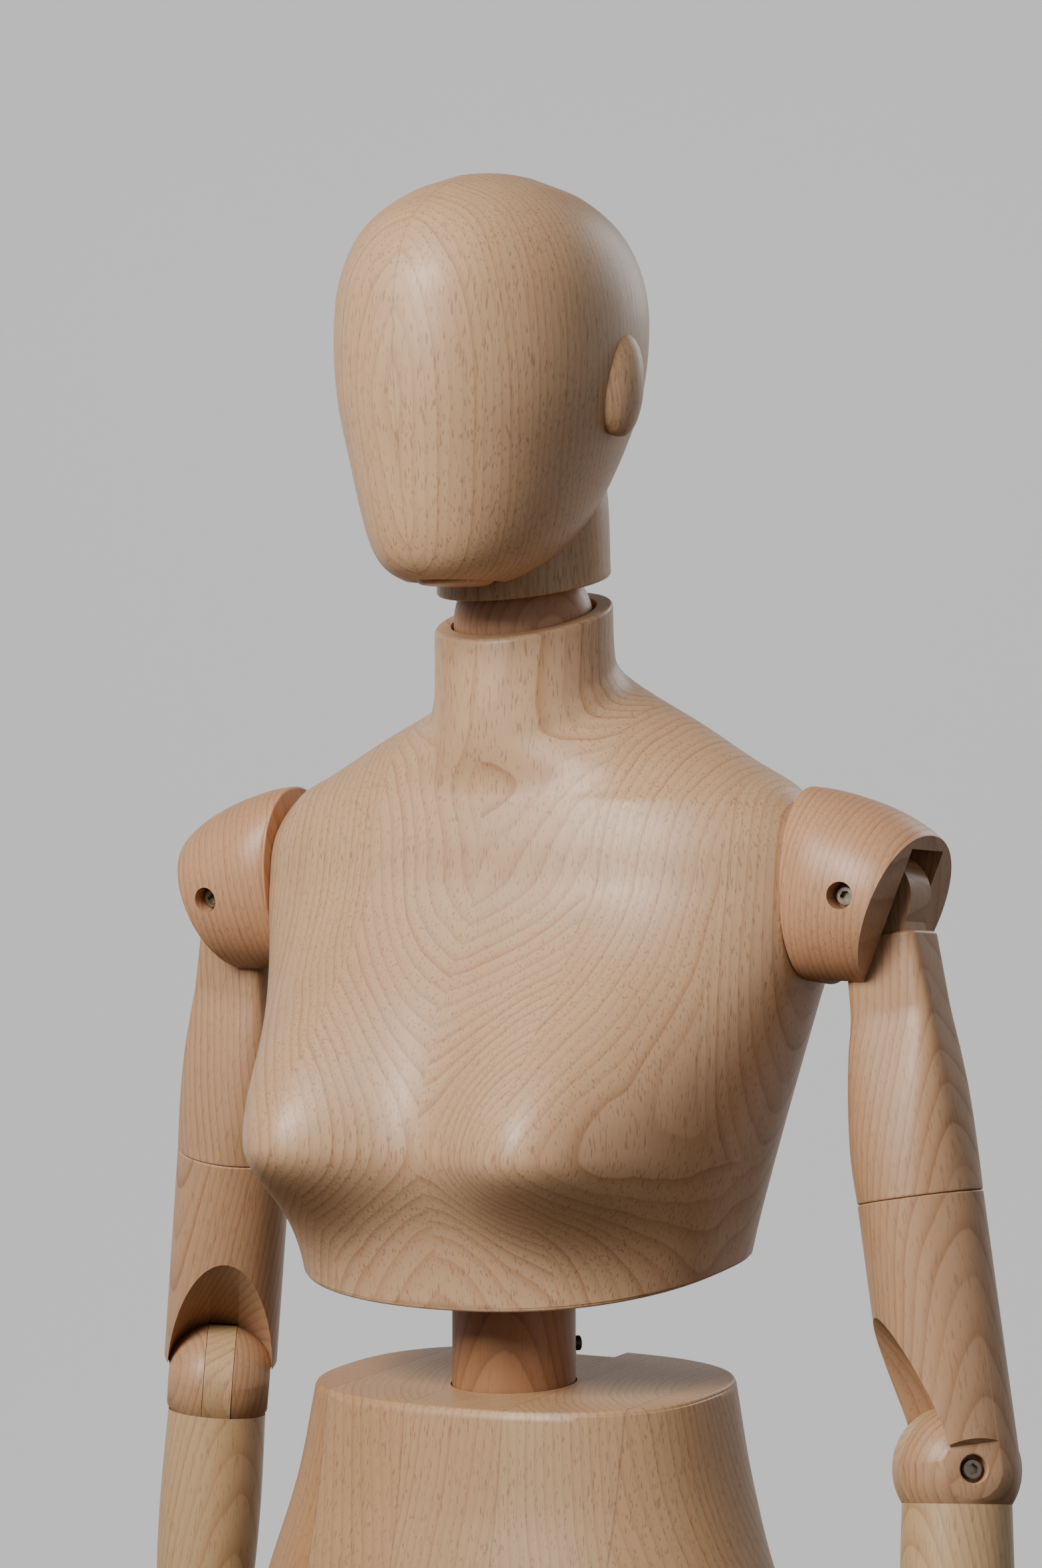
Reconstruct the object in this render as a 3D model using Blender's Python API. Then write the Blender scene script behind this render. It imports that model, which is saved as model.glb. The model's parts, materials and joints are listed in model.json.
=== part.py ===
"""A life-size female lay figure in beech on a round steel stand, at rest.

Metres, +Z up. The figure faces -Y and its left side is +X. The origin is the
centre of the base plate's underside. Each limb hangs from the pivot empties of
its joints, and every sub-part is one closed solid.
"""

import math

import bmesh
import bpy
from mathutils import Vector

# Clearances
FIT = 0.0003            # between two faces that touch
BORE_PLAY = 0.0004      # round a pin or a bolt in its bore
BORE_FLOOR = 0.002      # past the end of a pin in a blind bore
SLIDE = 0.0005          # round a piece that turns or slides in a slot

# Stand
BASE_RADIUS = 0.240
BASE_THICKNESS = 0.012
BASE_CHAMFER = 0.002
HUB_RADIUS = 0.030
HUB_HEIGHT = 0.045
HUB_SEAT = 0.004        # the hub's spigot in the plate
HUB_SPIGOT = 0.018
HUB_FLOOR = 0.002       # the plate's top to the end of the rod
ROD_RADIUS = 0.011
ROD_IN_PELVIS = 0.110
SLEEVE_WALL = 0.006
SLEEVE_FLANGE = 0.012
CLAMP_RADIUS = 0.004
CLAMP_SEAT = 0.104      # the rod to the floor of the clamp screw's counterbore
SOLE_LIFT = 0.045       # the soles hang clear of the plate

# Leg
ANKLE_RISE = 0.078      # sole to ankle bolt
SHIN_LENGTH = 0.355     # ankle bolt to knee bolt
THIGH_LENGTH = 0.385    # knee bolt to hip bolt
HIP_DROP = 0.045        # pelvis underside to hip bolt
HIP_SPREAD = 0.088      # centre plane to hip bolt centre
HIP_TURN_OUT = 4.0      # degrees that each foot points outwards
HIP_PIN_RADIUS = 0.014
HIP_PIN_LENGTH = 0.050
KNEE_TROUGH = 46.0      # degrees that the hollow for the folded shin leans back
HIP_MOUTH = 0.012       # the hip's slot is open this far above the bolt
FOOT_LENGTH = 0.236
HEEL_REACH = 0.062      # ankle bolt to the back of the heel

# Trunk
PELVIS_HEIGHT = 0.262
PELVIS_TOP_SLOPE = 0.065
NOTCH_WIDTH = 0.033
NOTCH_DEPTH = 0.019
NOTCH_HEIGHT = 0.060
WAIST_GAP = 0.054
WAIST_Y = -0.014
POST_RADIUS = 0.0325
POST_IN_PELVIS = 0.065
PIN_RISE = 0.046        # torso underside to waist pin
PIN_RADIUS = 0.006
PIN_SPAN = 0.120
POST_DOME = 0.6         # straight part of the post above its pin, as a share of its radius
LOCK_RISE = 0.018       # pelvis top to the post's lock screw
LOCK_ANGLE = 50.0       # degrees that the lock screw points round from the side
LOCK_RADIUS = 0.004
LOCK_DEPTH = 0.014
LOCK_PROUD = 0.004
WAIST_SWAY = 0.015      # room each way in the torso for the post
WAIST_ROOF = 0.0385     # waist pin to the roof of that room
TORSO_HEIGHT = 0.348
SHOULDER_FACE = 0.157   # centre plane to the flat joint face
SHOULDER_RISE = 0.202   # torso underside to the joint's centre
SHOULDER_Y = 0.020
BREAST_SPREAD = 0.083
BREAST_RISE = 0.074
BREAST_REACH = 0.066

# Neck and head
NECK_Y = -0.004
NECK_GAP = 0.016
BALL_RADIUS = 0.037
BALL_IN_TORSO = -0.004  # the ball's centre above the torso's rim
STUD_RADIUS = 0.006
STUD_LENGTH = 0.050
HEAD_HEIGHT = 0.2125    # collar to crown

# Arm
SHOULDER_REACH = 0.037  # joint face to shoulder bolt
SHOULDER_SLOT = 0.036
TENON_THICKNESS = SHOULDER_SLOT - 0.001   # the upper arm slides in the slot
TENON_RADIUS = 0.0235
EYE_THICKNESS = 0.024
EYE_ROOT = 0.018        # half width of the eye's root
EYE_ROOT_TOP = 0.004    # shoulder bolt to the top of that root
EYE_ROOT_FOOT = 0.030
UPPER_ARM_TOP = 0.153   # shoulder bolt to the swivel line
UPPER_ARM_END = 0.137   # swivel line to elbow bolt
FOREARM_LENGTH = 0.243  # elbow bolt to wrist bolt
WRIST_END = 0.027       # wrist swivel line to wrist bolt
HAND_LENGTH = 0.178
SWIVEL_RADIUS = 0.008
SWIVEL_REACH = 0.030
SLOT_Y = 0.006          # the shoulder slot's middle behind the joint's centre
RAISE_HEADROOM = 4.0    # degrees that the slot's roof falls outwards
SHOULDER_SINK = 0.034   # slot's middle to the counterbore's floor
CAP_STUD = 0.009        # the stud's reach into the cap
ELBOW_TROUGH = 42.0     # degrees that the hollow for the folded forearm leans forwards
WRIST_PIN = 0.006
WRIST_PIN_LENGTH = 0.025

# Pose at rest, in degrees: (left, right)
ARM_SWING = (-3.0, 8.0)
ARM_RAISE = 10.0
ARM_TURN = (47.0, 32.0)
ELBOW_BEND = (8.0, 11.0)


class Knuckle:
    """The sizes of one slotted ball joint and of its bolt."""

    def __init__(self, ball, cheek, slot, bolt, limb, tongue=None):
        self.ball = ball            # radius of the ball
        self.tongue = tongue or ball - SLIDE    # radius of the tongue in the slot
        self.cheek = cheek          # centre to the flat that the bolt enters
        self.slot = slot            # width of the slot for the tongue
        self.bolt = bolt            # radius of the bolt's shank
        self.limb = limb            # radius of the limb that rides on the ball
        self.head = bolt * 5 / 3    # radius of the bolt's head
        self.sink = bolt * 7 / 3    # radius of the counterbore
        self.depth = bolt * 2.6     # depth of the counterbore


ELBOW = Knuckle(ball=0.0320, cheek=0.0285, slot=0.0166, bolt=0.003, limb=0.0275)
WRIST = Knuckle(ball=0.0225, cheek=0.0200, slot=0.0116, bolt=0.003, limb=0.0190)
HIP = Knuckle(ball=0.0520, cheek=0.0460, slot=0.0246, bolt=0.005, limb=0.0460,
              tongue=0.0340)
KNEE = Knuckle(ball=0.0480, cheek=0.0430, slot=0.0226, bolt=0.005, limb=0.0420)
ANKLE = Knuckle(ball=0.0330, cheek=0.0290, slot=0.0166, bolt=0.004, limb=0.0270)
SHOULDER_BOLT_RADIUS = 0.003
BOLT_HEAD_SCALE = 5 / 3
COUNTERBORE_SCALE = 7 / 3
COUNTERBORE_DEPTH = 0.009

# Heights that follow
BASE_TOP = BASE_THICKNESS
SOLE_Z = BASE_TOP + SOLE_LIFT
ANKLE_Z = SOLE_Z + ANKLE_RISE
KNEE_Z = ANKLE_Z + SHIN_LENGTH
HIP_Z = KNEE_Z + THIGH_LENGTH
PELVIS_Z = HIP_Z + HIP_DROP
PELVIS_TOP = PELVIS_Z + PELVIS_HEIGHT
TORSO_Z = PELVIS_TOP + WAIST_GAP
NECK_Z = TORSO_Z + TORSO_HEIGHT + BALL_IN_TORSO
COLLAR_Z = TORSO_Z + TORSO_HEIGHT + NECK_GAP

ROUND = 14              # sides of a turned piece
FINE = 28               # sides of the pelvis and the head
TORSO_SIDES = 36
PLATE_SIDES = 40
SMALL = 12              # sides of a bolt or a pin
BALL_STEPS = 6          # rows of faces on a ball, pole to pole
LONG = 0.5              # a cutter that runs past the piece
ROOT_WIDTH = 0.6        # a tongue's root, as a share of the tongue's radius
ROOT_BELOW = 1.3        # its foot below the bolt, as a share of the ball's radius
ROOT_ABOVE = 0.3        # its head below the bolt, as a share of the tongue's radius
LIMB_START = 0.8        # where a limb starts, as a share of the height of its cup's rim
HEAD_SHARE = 0.6        # height of a bolt's head, as a share of its counterbore
KEY_SHARE = 0.83        # radius of a bolt's hexagon socket, as a share of its shank


# ---------------------------------------------------------------- materials

def material(name, colour, roughness, metallic=0.0):
    made = bpy.data.materials.new(name)
    made.use_nodes = True
    shader = made.node_tree.nodes["Principled BSDF"]
    shader.inputs["Base Color"].default_value = (*colour, 1.0)
    shader.inputs["Roughness"].default_value = roughness
    shader.inputs["Metallic"].default_value = metallic
    return made


BEECH = (0.62, 0.40, 0.24)
PALE_BEECH = (0.68, 0.50, 0.31)
RED_BEECH = (0.58, 0.33, 0.19)
STEEL = (0.55, 0.55, 0.56)
DARK_STEEL = (0.14, 0.14, 0.15)


# ------------------------------------------------------------ shape helpers

def empty(name, parent, place, turn=(0.0, 0.0, 0.0)):
    """A joint's pivot, turned by degrees about X, Y and Z in that order of nesting."""
    pivot = bpy.data.objects.new(name, None)
    bpy.context.scene.collection.objects.link(pivot)
    pivot.parent = parent
    pivot.location = place
    pivot.rotation_euler = [math.radians(angle) for angle in turn]
    return pivot


def solid(name, parent, place, make):
    """An object whose mesh the function make draws in a bmesh."""
    mesh = bpy.data.meshes.new(name)
    drawing = bmesh.new()
    make(drawing)
    bmesh.ops.recalc_face_normals(drawing, faces=drawing.faces)
    drawing.to_mesh(mesh)
    drawing.free()
    made = bpy.data.objects.new(name, mesh)
    bpy.context.scene.collection.objects.link(made)
    made.parent = parent
    made.location = place
    return made


def finish(made, name, colour, roughness, metallic=0.0):
    """Gives a sub-part its own material and smooth shading."""
    made.data.materials.append(material(name, colour, roughness, metallic))
    for face in made.data.polygons:
        face.use_smooth = True
    made.data.set_sharp_from_angle(angle=math.radians(35))
    return made


def wood(made, colour=BEECH):
    return finish(made, made.name, colour, 0.5)


def steel(made, colour=STEEL):
    return finish(made, made.name, colour, 0.3, 1.0)


def loft(rings):
    """A drawing function: a closed skin over rings of points, capped at both ends."""
    def make(drawing):
        rows = [[drawing.verts.new(point) for point in ring] for ring in rings]
        for low, high in zip(rows, rows[1:]):
            for i in range(max(len(low), len(high))):
                corners = [low[i % len(low)], low[(i + 1) % len(low)],
                           high[(i + 1) % len(high)], high[i % len(high)]]
                drawing.faces.new(list(dict.fromkeys(corners)))
        for row in (rows[0], rows[-1]):
            if len(row) > 2:
                drawing.faces.new(row)
    return make


def oval(half_x, half_y, z, centre=(0, 0), power=2.0, slope=0.0, sides=ROUND, twist=0.0):
    """A ring: a superellipse on a level that may slope along Y."""
    points = []
    for i in range(sides):
        angle = 2 * math.pi * (i + twist) / sides
        c, s = math.cos(angle), math.sin(angle)
        x = half_x * math.copysign(abs(c) ** (2 / power), c)
        y = half_y * math.copysign(abs(s) ** (2 / power), s)
        points.append(Vector((centre[0] + x, centre[1] + y, z + slope * y)))
    return points


def turned(profile, sides=ROUND, twist=0.0):
    """A drawing function: a turned solid from (radius, height) pairs."""
    rings = []
    for radius, z in profile:
        if radius == 0:
            rings.append([Vector((0, 0, z))])
        else:
            rings.append(oval(radius, radius, z, sides=sides, twist=twist))
    return loft(rings)


def ball_profile(radius, start, end, steps):
    """(radius, height) pairs on a ball, between two angles from the top in degrees."""
    pairs = []
    for i in range(steps + 1):
        angle = math.radians(start + (end - start) * i / steps)
        across = radius * math.sin(angle)
        pairs.append((0 if across < 1e-6 else across, radius * math.cos(angle)))
    return pairs


def clear(radius, play, sides=ROUND):
    """The radius of a faceted bore whose flats clear a round piece by the play."""
    return (radius + play) / math.cos(math.pi / sides)


def clear_ball(radius, play):
    """The radius of a faceted seat that clears a ball by the play."""
    return clear(radius, play) / math.cos(math.pi / 2 / BALL_STEPS)


def ball(radius):
    """A drawing function: a whole ball."""
    return turned(ball_profile(radius, 0, 180, BALL_STEPS), twist=0.5)


def rod(radius, low, high):
    """A drawing function: a plain pin or bore between two heights."""
    return turned([(radius, low), (radius, high)], SMALL, 0.5)


def bar(low, high):
    """A drawing function: a box between two corners."""
    def make(drawing):
        corners = [[Vector((x, y, z)) for x, y in
                    ((low[0], low[1]), (high[0], low[1]), (high[0], high[1]), (low[0], high[1]))]
                   for z in (low[2], high[2])]
        loft(corners)(drawing)
    return make


def along(axis, make):
    """The drawing turned so that its +Z points along X or Y."""
    def turned_make(drawing):
        make(drawing)
        for vertex in drawing.verts:
            x, y, z = vertex.co
            vertex.co = (z, x, y) if axis == "X" else (y, z, x)
    return turned_make


def combine(made, tool, operation):
    """A Boolean with a hidden tool on the same pivot."""
    tool.hide_render = True
    tool.display_type = "WIRE"
    step = made.modifiers.new(tool.name, "BOOLEAN")
    step.operation = operation
    step.solver = "EXACT"
    step.object = tool


def cut(made, name, place, make):
    combine(made, solid(made.name + "_" + name, made.parent, place, make), "DIFFERENCE")


def join(made, name, place, make):
    combine(made, solid(made.name + "_" + name, made.parent, place, make), "UNION")


def keep(made, name, place, make):
    combine(made, solid(made.name + "_" + name, made.parent, place, make), "INTERSECT")


# ------------------------------------------------------- joints of one kind

def bolt_bores(made, place, joint, side):
    """Bore and counterbores of a bolt along X through a pair of cheeks."""
    bore = clear(joint.bolt, BORE_PLAY, SMALL)
    cut(made, "bore", place, along("X", rod(bore, -LONG, LONG)))
    for way in (side, -side):
        ends = sorted((way * (joint.cheek - joint.depth), way * LONG))
        cut(made, "sink", place, along("X", rod(joint.sink, *ends)))


def slot_cut(made, place, joint):
    """The slot across a ball that its limb's tongue turns in."""
    reach = clear(joint.tongue, 2 * SLIDE)
    half = joint.slot / 2
    cut(made, "slot", place, along("X", turned([(reach, -half), (reach, half)], twist=0.5)))


def slotted(made, place, joint, side):
    """Makes a ball end into a knuckle: flats, a slot for the tongue, and bolt bores."""
    keep(made, "flats", place, bar((-joint.cheek, -LONG, -LONG), (joint.cheek, LONG, LONG)))
    slot_cut(made, place, joint)
    bolt_bores(made, place, joint, side)


def tongued(made, joint):
    """Gives a limb whose pivot is its origin a cup for the ball, and the tongue."""
    cut(made, "cup", (0, 0, 0), ball(clear_ball(joint.ball, SLIDE)))
    half = joint.slot / 2 - FIT
    root = ROOT_WIDTH * joint.tongue
    join(made, "root", (0, 0, 0),
         bar((-half, -root, -ROOT_BELOW * joint.ball), (half, root, -ROOT_ABOVE * joint.tongue)))
    disc = turned([(joint.tongue, -half), (joint.tongue, half)])
    join(made, "tongue", (0, 0, 0), along("X", disc))
    bore = clear(joint.bolt, BORE_PLAY, SMALL)
    cut(made, "eye", (0, 0, 0), along("X", rod(bore, -LONG, LONG)))


def limb_top(joint):
    """How far below the bolt a limb starts: inside the ball, so that its cup makes the rim."""
    return LIMB_START * math.sqrt(joint.ball ** 2 - joint.limb ** 2)


def relieved(made, place, joint, way, tilt):
    """Cuts the trough that the folded limb lies in, and leaves the ball whole."""
    trough = solid(made.name + "_trough", made.parent, place,
                   turned([(clear(joint.limb, 2 * SLIDE), 0), (clear(joint.limb, 2 * SLIDE), LONG)]))
    trough.rotation_euler = (-way * math.radians(tilt), 0, 0)
    guard = solid(made.name + "_guard", made.parent, place,
                  ball(joint.ball + SLIDE))
    combine(trough, guard, "DIFFERENCE")
    guard.hide_render = True
    combine(made, trough, "DIFFERENCE")


def bolt_and_nut(name, suffix, parent, place, joint, side, with_nut=True):
    """A socket-head bolt along X with its head on the outer side, and its sleeve nut."""
    bottom = joint.cheek - joint.depth + FIT
    top = bottom + joint.depth * HEAD_SHARE
    tip = -bottom if with_nut else joint.depth - joint.cheek + FIT
    outline = [(joint.bolt, side * tip), (joint.bolt, side * bottom),
               (joint.head, side * bottom), (joint.head, side * top)]
    bolt = solid(f"{name}_bolt{suffix}", parent, place, along("X", turned(outline, SMALL)))
    key = joint.bolt * KEY_SHARE
    socket = [(key, side * (top - joint.bolt)), (key, side * LONG)]
    cut(bolt, "socket", place, along("X", turned(socket, 6)))
    steel(bolt, DARK_STEEL)
    if with_nut:
        low = bottom + FIT
        nut = solid(f"{name}_nut{suffix}", parent, place,
                    along("X", rod(joint.head, -side * low, -side * top)))
        steel(nut, DARK_STEEL)


# -------------------------------------------------------------------- stand

def make_stand():
    root = empty("stand", None, (0, 0, 0))
    edge = BASE_TOP - BASE_CHAMFER
    plate = solid("base_plate", root, (0, 0, 0), turned([
        (BASE_RADIUS, 0), (BASE_RADIUS, edge), (BASE_RADIUS - BASE_CHAMFER, BASE_TOP)], PLATE_SIDES))
    seat = HUB_SPIGOT + FIT
    cut(plate, "seat", (0, 0, BASE_TOP - HUB_SEAT), turned([(seat, 0), (seat, LONG)]))
    steel(plate)
    hub = solid("base_hub", root, (0, 0, BASE_TOP), turned([
        (HUB_SPIGOT, FIT - HUB_SEAT), (HUB_SPIGOT, FIT), (HUB_RADIUS, FIT),
        (HUB_RADIUS, HUB_HEIGHT - BASE_CHAMFER), (HUB_RADIUS - BASE_CHAMFER, HUB_HEIGHT)]))
    bore = clear(ROD_RADIUS, BORE_PLAY, SMALL)
    cut(hub, "bore", (0, 0, BASE_TOP + HUB_FLOOR), rod(bore, 0, LONG))
    steel(hub, DARK_STEEL)
    rod_low = BASE_TOP + HUB_FLOOR + FIT
    rod_high = PELVIS_Z + ROD_IN_PELVIS
    upright = solid("stand_rod", root, (0, 0, 0), turned([
        (ROD_RADIUS, rod_low), (ROD_RADIUS, rod_high - BASE_CHAMFER),
        (ROD_RADIUS - BASE_CHAMFER, rod_high)], SMALL))
    steel(upright)
    return root


# ------------------------------------------------------------------- pelvis

# Share of the height, half width, half depth, centre Y, squareness
PELVIS_SHAPE = [
    (0.00, 0.128, 0.080, 0.004, 2.6),
    (0.05, 0.156, 0.101, 0.006, 2.5),
    (0.13, 0.171, 0.113, 0.008, 2.4),
    (0.25, 0.173, 0.115, 0.008, 2.4),
    (0.42, 0.163, 0.108, 0.006, 2.3),
    (0.60, 0.142, 0.0960, -0.006, 2.3),
    (0.80, 0.124, 0.0880, -0.004, 2.4),
    (1.00, 0.1125, 0.0825, -0.003, 2.5),
]


def make_pelvis(root):
    rings = []
    for share, half_x, half_y, centre, power in PELVIS_SHAPE:
        slope = PELVIS_TOP_SLOPE * share ** 4
        rings.append(oval(half_x, half_y, PELVIS_HEIGHT * share, (0, centre), power, slope, FINE))
    base = (0, 0, PELVIS_Z)
    pelvis = solid("pelvis", root, base, loft(rings))
    back = PELVIS_SHAPE[-1][2]
    cut(pelvis, "notch", base,
        bar((-NOTCH_WIDTH / 2, back - NOTCH_DEPTH, PELVIS_HEIGHT - NOTCH_HEIGHT),
            (NOTCH_WIDTH / 2, LONG, LONG)))
    post_bore = clear(POST_RADIUS, FIT)
    cut(pelvis, "post_bore", (0, WAIST_Y, PELVIS_TOP - POST_IN_PELVIS),
        turned([(post_bore, 0), (post_bore, LONG)]))
    sleeve_radius = ROD_RADIUS + SLEEVE_WALL
    flange = sleeve_radius + SLEEVE_FLANGE
    cut(pelvis, "sleeve_bore", base, turned([
        (flange + FIT, -LONG), (flange + FIT, SLEEVE_WALL), (sleeve_radius + FIT, SLEEVE_WALL),
        (sleeve_radius + FIT, ROD_IN_PELVIS + SLEEVE_WALL)]))
    clamp_z = PELVIS_Z + ROD_IN_PELVIS / 2
    clamp_bore = clear(CLAMP_RADIUS, BORE_PLAY, SMALL)
    cut(pelvis, "clamp_bore", (0, 0, clamp_z), along("Y", rod(clamp_bore, 0, LONG)))
    cut(pelvis, "clamp_sink", (0, 0, clamp_z), along("Y", rod(3 * CLAMP_RADIUS, CLAMP_SEAT, LONG)))
    hip_bore = clear(HIP_PIN_RADIUS, FIT, SMALL)
    for side in (1, -1):
        cut(pelvis, "hip_bore", (side * HIP_SPREAD, 0, PELVIS_Z),
            rod(hip_bore, -LONG, HIP_PIN_LENGTH + BORE_FLOOR))
    wood(pelvis)

    sleeve = solid("rod_sleeve", root, base, turned([
        (flange, FIT), (flange, SLEEVE_WALL - FIT), (sleeve_radius, SLEEVE_WALL - FIT),
        (sleeve_radius, ROD_IN_PELVIS + SLEEVE_WALL / 2)]))
    rod_bore = clear(ROD_RADIUS, BORE_PLAY, SMALL)
    cut(sleeve, "bore", base, rod(rod_bore, -LONG, ROD_IN_PELVIS + FIT))
    cut(sleeve, "clamp_bore", (0, 0, clamp_z), along("Y", rod(clamp_bore, 0, LONG)))
    steel(sleeve)
    clamp = solid("rod_clamp_screw", root, (0, 0, clamp_z), along("Y", turned([
        (CLAMP_RADIUS, ROD_RADIUS + FIT), (CLAMP_RADIUS, CLAMP_SEAT + FIT),
        (2 * CLAMP_RADIUS, CLAMP_SEAT + FIT),
        (2 * CLAMP_RADIUS, CLAMP_SEAT + 2 * CLAMP_RADIUS)], SMALL)))
    steel(clamp, DARK_STEEL)
    return pelvis


# -------------------------------------------------------------------- waist

def make_waist(root):
    waist = empty("waist_turn", root, (0, WAIST_Y, PELVIS_TOP))
    pin_z = WAIST_GAP + PIN_RISE
    post = solid("waist_post", waist, (0, 0, 0), turned([
        (POST_RADIUS, FIT - POST_IN_PELVIS), (POST_RADIUS, pin_z + POST_RADIUS * POST_DOME),
        (POST_RADIUS * 0.7, pin_z + POST_RADIUS * 0.95)]))
    pin_bore = clear(PIN_RADIUS, BORE_PLAY, SMALL)
    cut(post, "pin_bore", (0, 0, pin_z), along("X", rod(pin_bore, -LONG, LONG)))
    lock = empty("waist_lock", waist, (0, 0, LOCK_RISE), (0, 0, LOCK_ANGLE))
    screw_bore = clear(LOCK_RADIUS, BORE_PLAY, SMALL)
    bore = solid("waist_post_lock_bore", lock, (0, 0, 0),
                 along("X", rod(screw_bore, POST_RADIUS - LOCK_DEPTH, LONG)))
    combine(post, bore, "DIFFERENCE")
    wood(post, RED_BEECH)
    screw = solid("waist_lock_screw", lock, (0, 0, 0), along("X", turned([
        (LOCK_RADIUS, POST_RADIUS - LOCK_DEPTH + FIT), (LOCK_RADIUS, POST_RADIUS + LOCK_PROUD / 2),
        (LOCK_RADIUS / 2, POST_RADIUS + LOCK_PROUD)], SMALL)))
    steel(screw, DARK_STEEL)
    bend = empty("waist_bend", waist, (0, 0, pin_z))
    pin = solid("waist_pin", bend, (0, 0, 0),
                along("X", rod(PIN_RADIUS, -PIN_SPAN / 2, PIN_SPAN / 2)))
    steel(pin)
    return bend



# Share of the height, half width, half depth, centre Y, squareness, slope of the level
TORSO_SHAPE = [
    (0.0000, 0.1180, 0.0860, 0.000, 2.7, 0.120),
    (0.0800, 0.1230, 0.0890, 0.001, 2.7, 0.070),
    (0.2158, 0.1350, 0.0920, 0.004, 2.6, 0.030),
    (0.4040, 0.1530, 0.0900, 0.014, 2.4, 0.000),
    (0.5086, 0.1630, 0.0830, 0.021, 2.4, 0.000),
    (0.5839, 0.1680, 0.0770, 0.024, 2.4, 0.000),
    (0.6654, 0.1650, 0.0720, 0.022, 2.3, 0.030),
    (0.7334, 0.1470, 0.0640, 0.018, 2.2, 0.100),
    (0.7660, 0.1260, 0.0590, 0.014, 2.1, 0.200),
    (0.8080, 0.0980, 0.0545, 0.009, 2.05, 0.340),
    (0.8630, 0.0565, 0.0515, 0.002, 2.0, 0.420),
    (0.8920, 0.0490, 0.0485, -0.002, 2.0, 0.420),
    (0.9200, 0.0475, 0.0475, -0.003, 2.0, 0.400),
    (1.0000, 0.0470, 0.0470, -0.004, 2.0, 0.306),
]
BREAST_WIDTH = 0.045
BREAST_ABOVE = 0.053
BREAST_BELOW = 0.027
HEM_ARCH = 0.008            # rise of the underside from the middle to the flanks


def breast(x, z):
    """How far the chest swells forwards at a place on its front."""
    spread = BREAST_BELOW if z < BREAST_RISE else BREAST_ABOVE
    height = math.exp(-((z - BREAST_RISE) / spread) ** 2 / 2)
    sides = sum(math.exp(-((x - side * BREAST_SPREAD) / BREAST_WIDTH) ** 2 / 2) for side in (1, -1))
    return BREAST_REACH * height * sides


def make_torso(bend):
    rings = []
    for share, half_x, half_y, centre, power, slope in TORSO_SHAPE:
        ring = oval(half_x, half_y, TORSO_HEIGHT * share, (0, centre), power, slope, TORSO_SIDES)
        for point in ring:
            point.z += HEM_ARCH * (1 - share) ** 6 * (point.x / half_x) ** 2
            front = max(0.0, min(1.0, (centre - point.y) / half_y))
            point.y -= breast(point.x, point.z) * front ** 0.8
        rings.append(ring)
    base = (0, -WAIST_Y, -PIN_RISE)
    torso = solid("torso", bend, base, loft(rings))
    keep(torso, "joint_faces", base,
         bar((-SHOULDER_FACE, -LONG, -LONG), (SHOULDER_FACE, LONG, LONG)))
    half = POST_RADIUS + SLIDE
    room = POST_RADIUS + WAIST_SWAY
    cut(torso, "waist_room", (0, 0, 0), bar((-half, -room, -LONG), (half, room, WAIST_ROOF)))
    bore = clear(PIN_RADIUS, BORE_PLAY, SMALL)
    span = PIN_SPAN / 2 + FIT
    cut(torso, "pin_bore", (0, 0, 0), along("X", rod(bore, -span, span)))
    centre = (0, NECK_Y - WAIST_Y, NECK_Z - TORSO_Z - PIN_RISE)
    seat = clear_ball(BALL_RADIUS, SLIDE)
    cut(torso, "neck_seat", centre, ball(seat))
    cut(torso, "neck_mouth", centre, turned([(seat, 0), (seat, LONG)]))
    place = (0, SHOULDER_Y - WAIST_Y, SHOULDER_RISE - PIN_RISE)
    inner = SHOULDER_FACE - STUD_LENGTH / 2 - FIT
    stud_bore = clear(STUD_RADIUS, BORE_PLAY, SMALL)
    for side in (1, -1):
        cut(torso, "stud_bore", place, along("X", rod(stud_bore, side * inner, side * LONG)))
    wood(torso)


# ------------------------------------------------------------ neck and head

# Depth below the crown as a share, half width, front Y, back Y
HEAD_SHAPE = [
    (1.015, 0.019, -0.097, -0.051),
    (0.985, 0.032, -0.109, -0.031),
    (0.940, 0.042, -0.116, -0.009),
    (0.860, 0.051, -0.121, 0.016),
    (0.720, 0.061, -0.126, 0.039),
    (0.560, 0.070, -0.131, 0.055),
    (0.400, 0.073, -0.132, 0.062),
    (0.260, 0.070, -0.128, 0.061),
    (0.140, 0.059, -0.113, 0.048),
    (0.055, 0.040, -0.085, 0.023),
    (0.012, 0.019, -0.059, -0.005),
]
HEAD_POWER = 2.15
# Rise above the collar, half width, half depth, slope of the level
COLUMN_SHAPE = [
    (0.000, 0.0460, 0.0460, 0.23),
    (0.045, 0.0442, 0.0446, 0.10),
    (0.095, 0.0368, 0.0391, 0.00),
]
EAR = (0.010, 0.017, 0.027)
EAR_LEAN = -8.0
EAR_PLACE = (0.069, -0.022, 0.475)     # X, Y, share of the height above the collar


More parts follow.
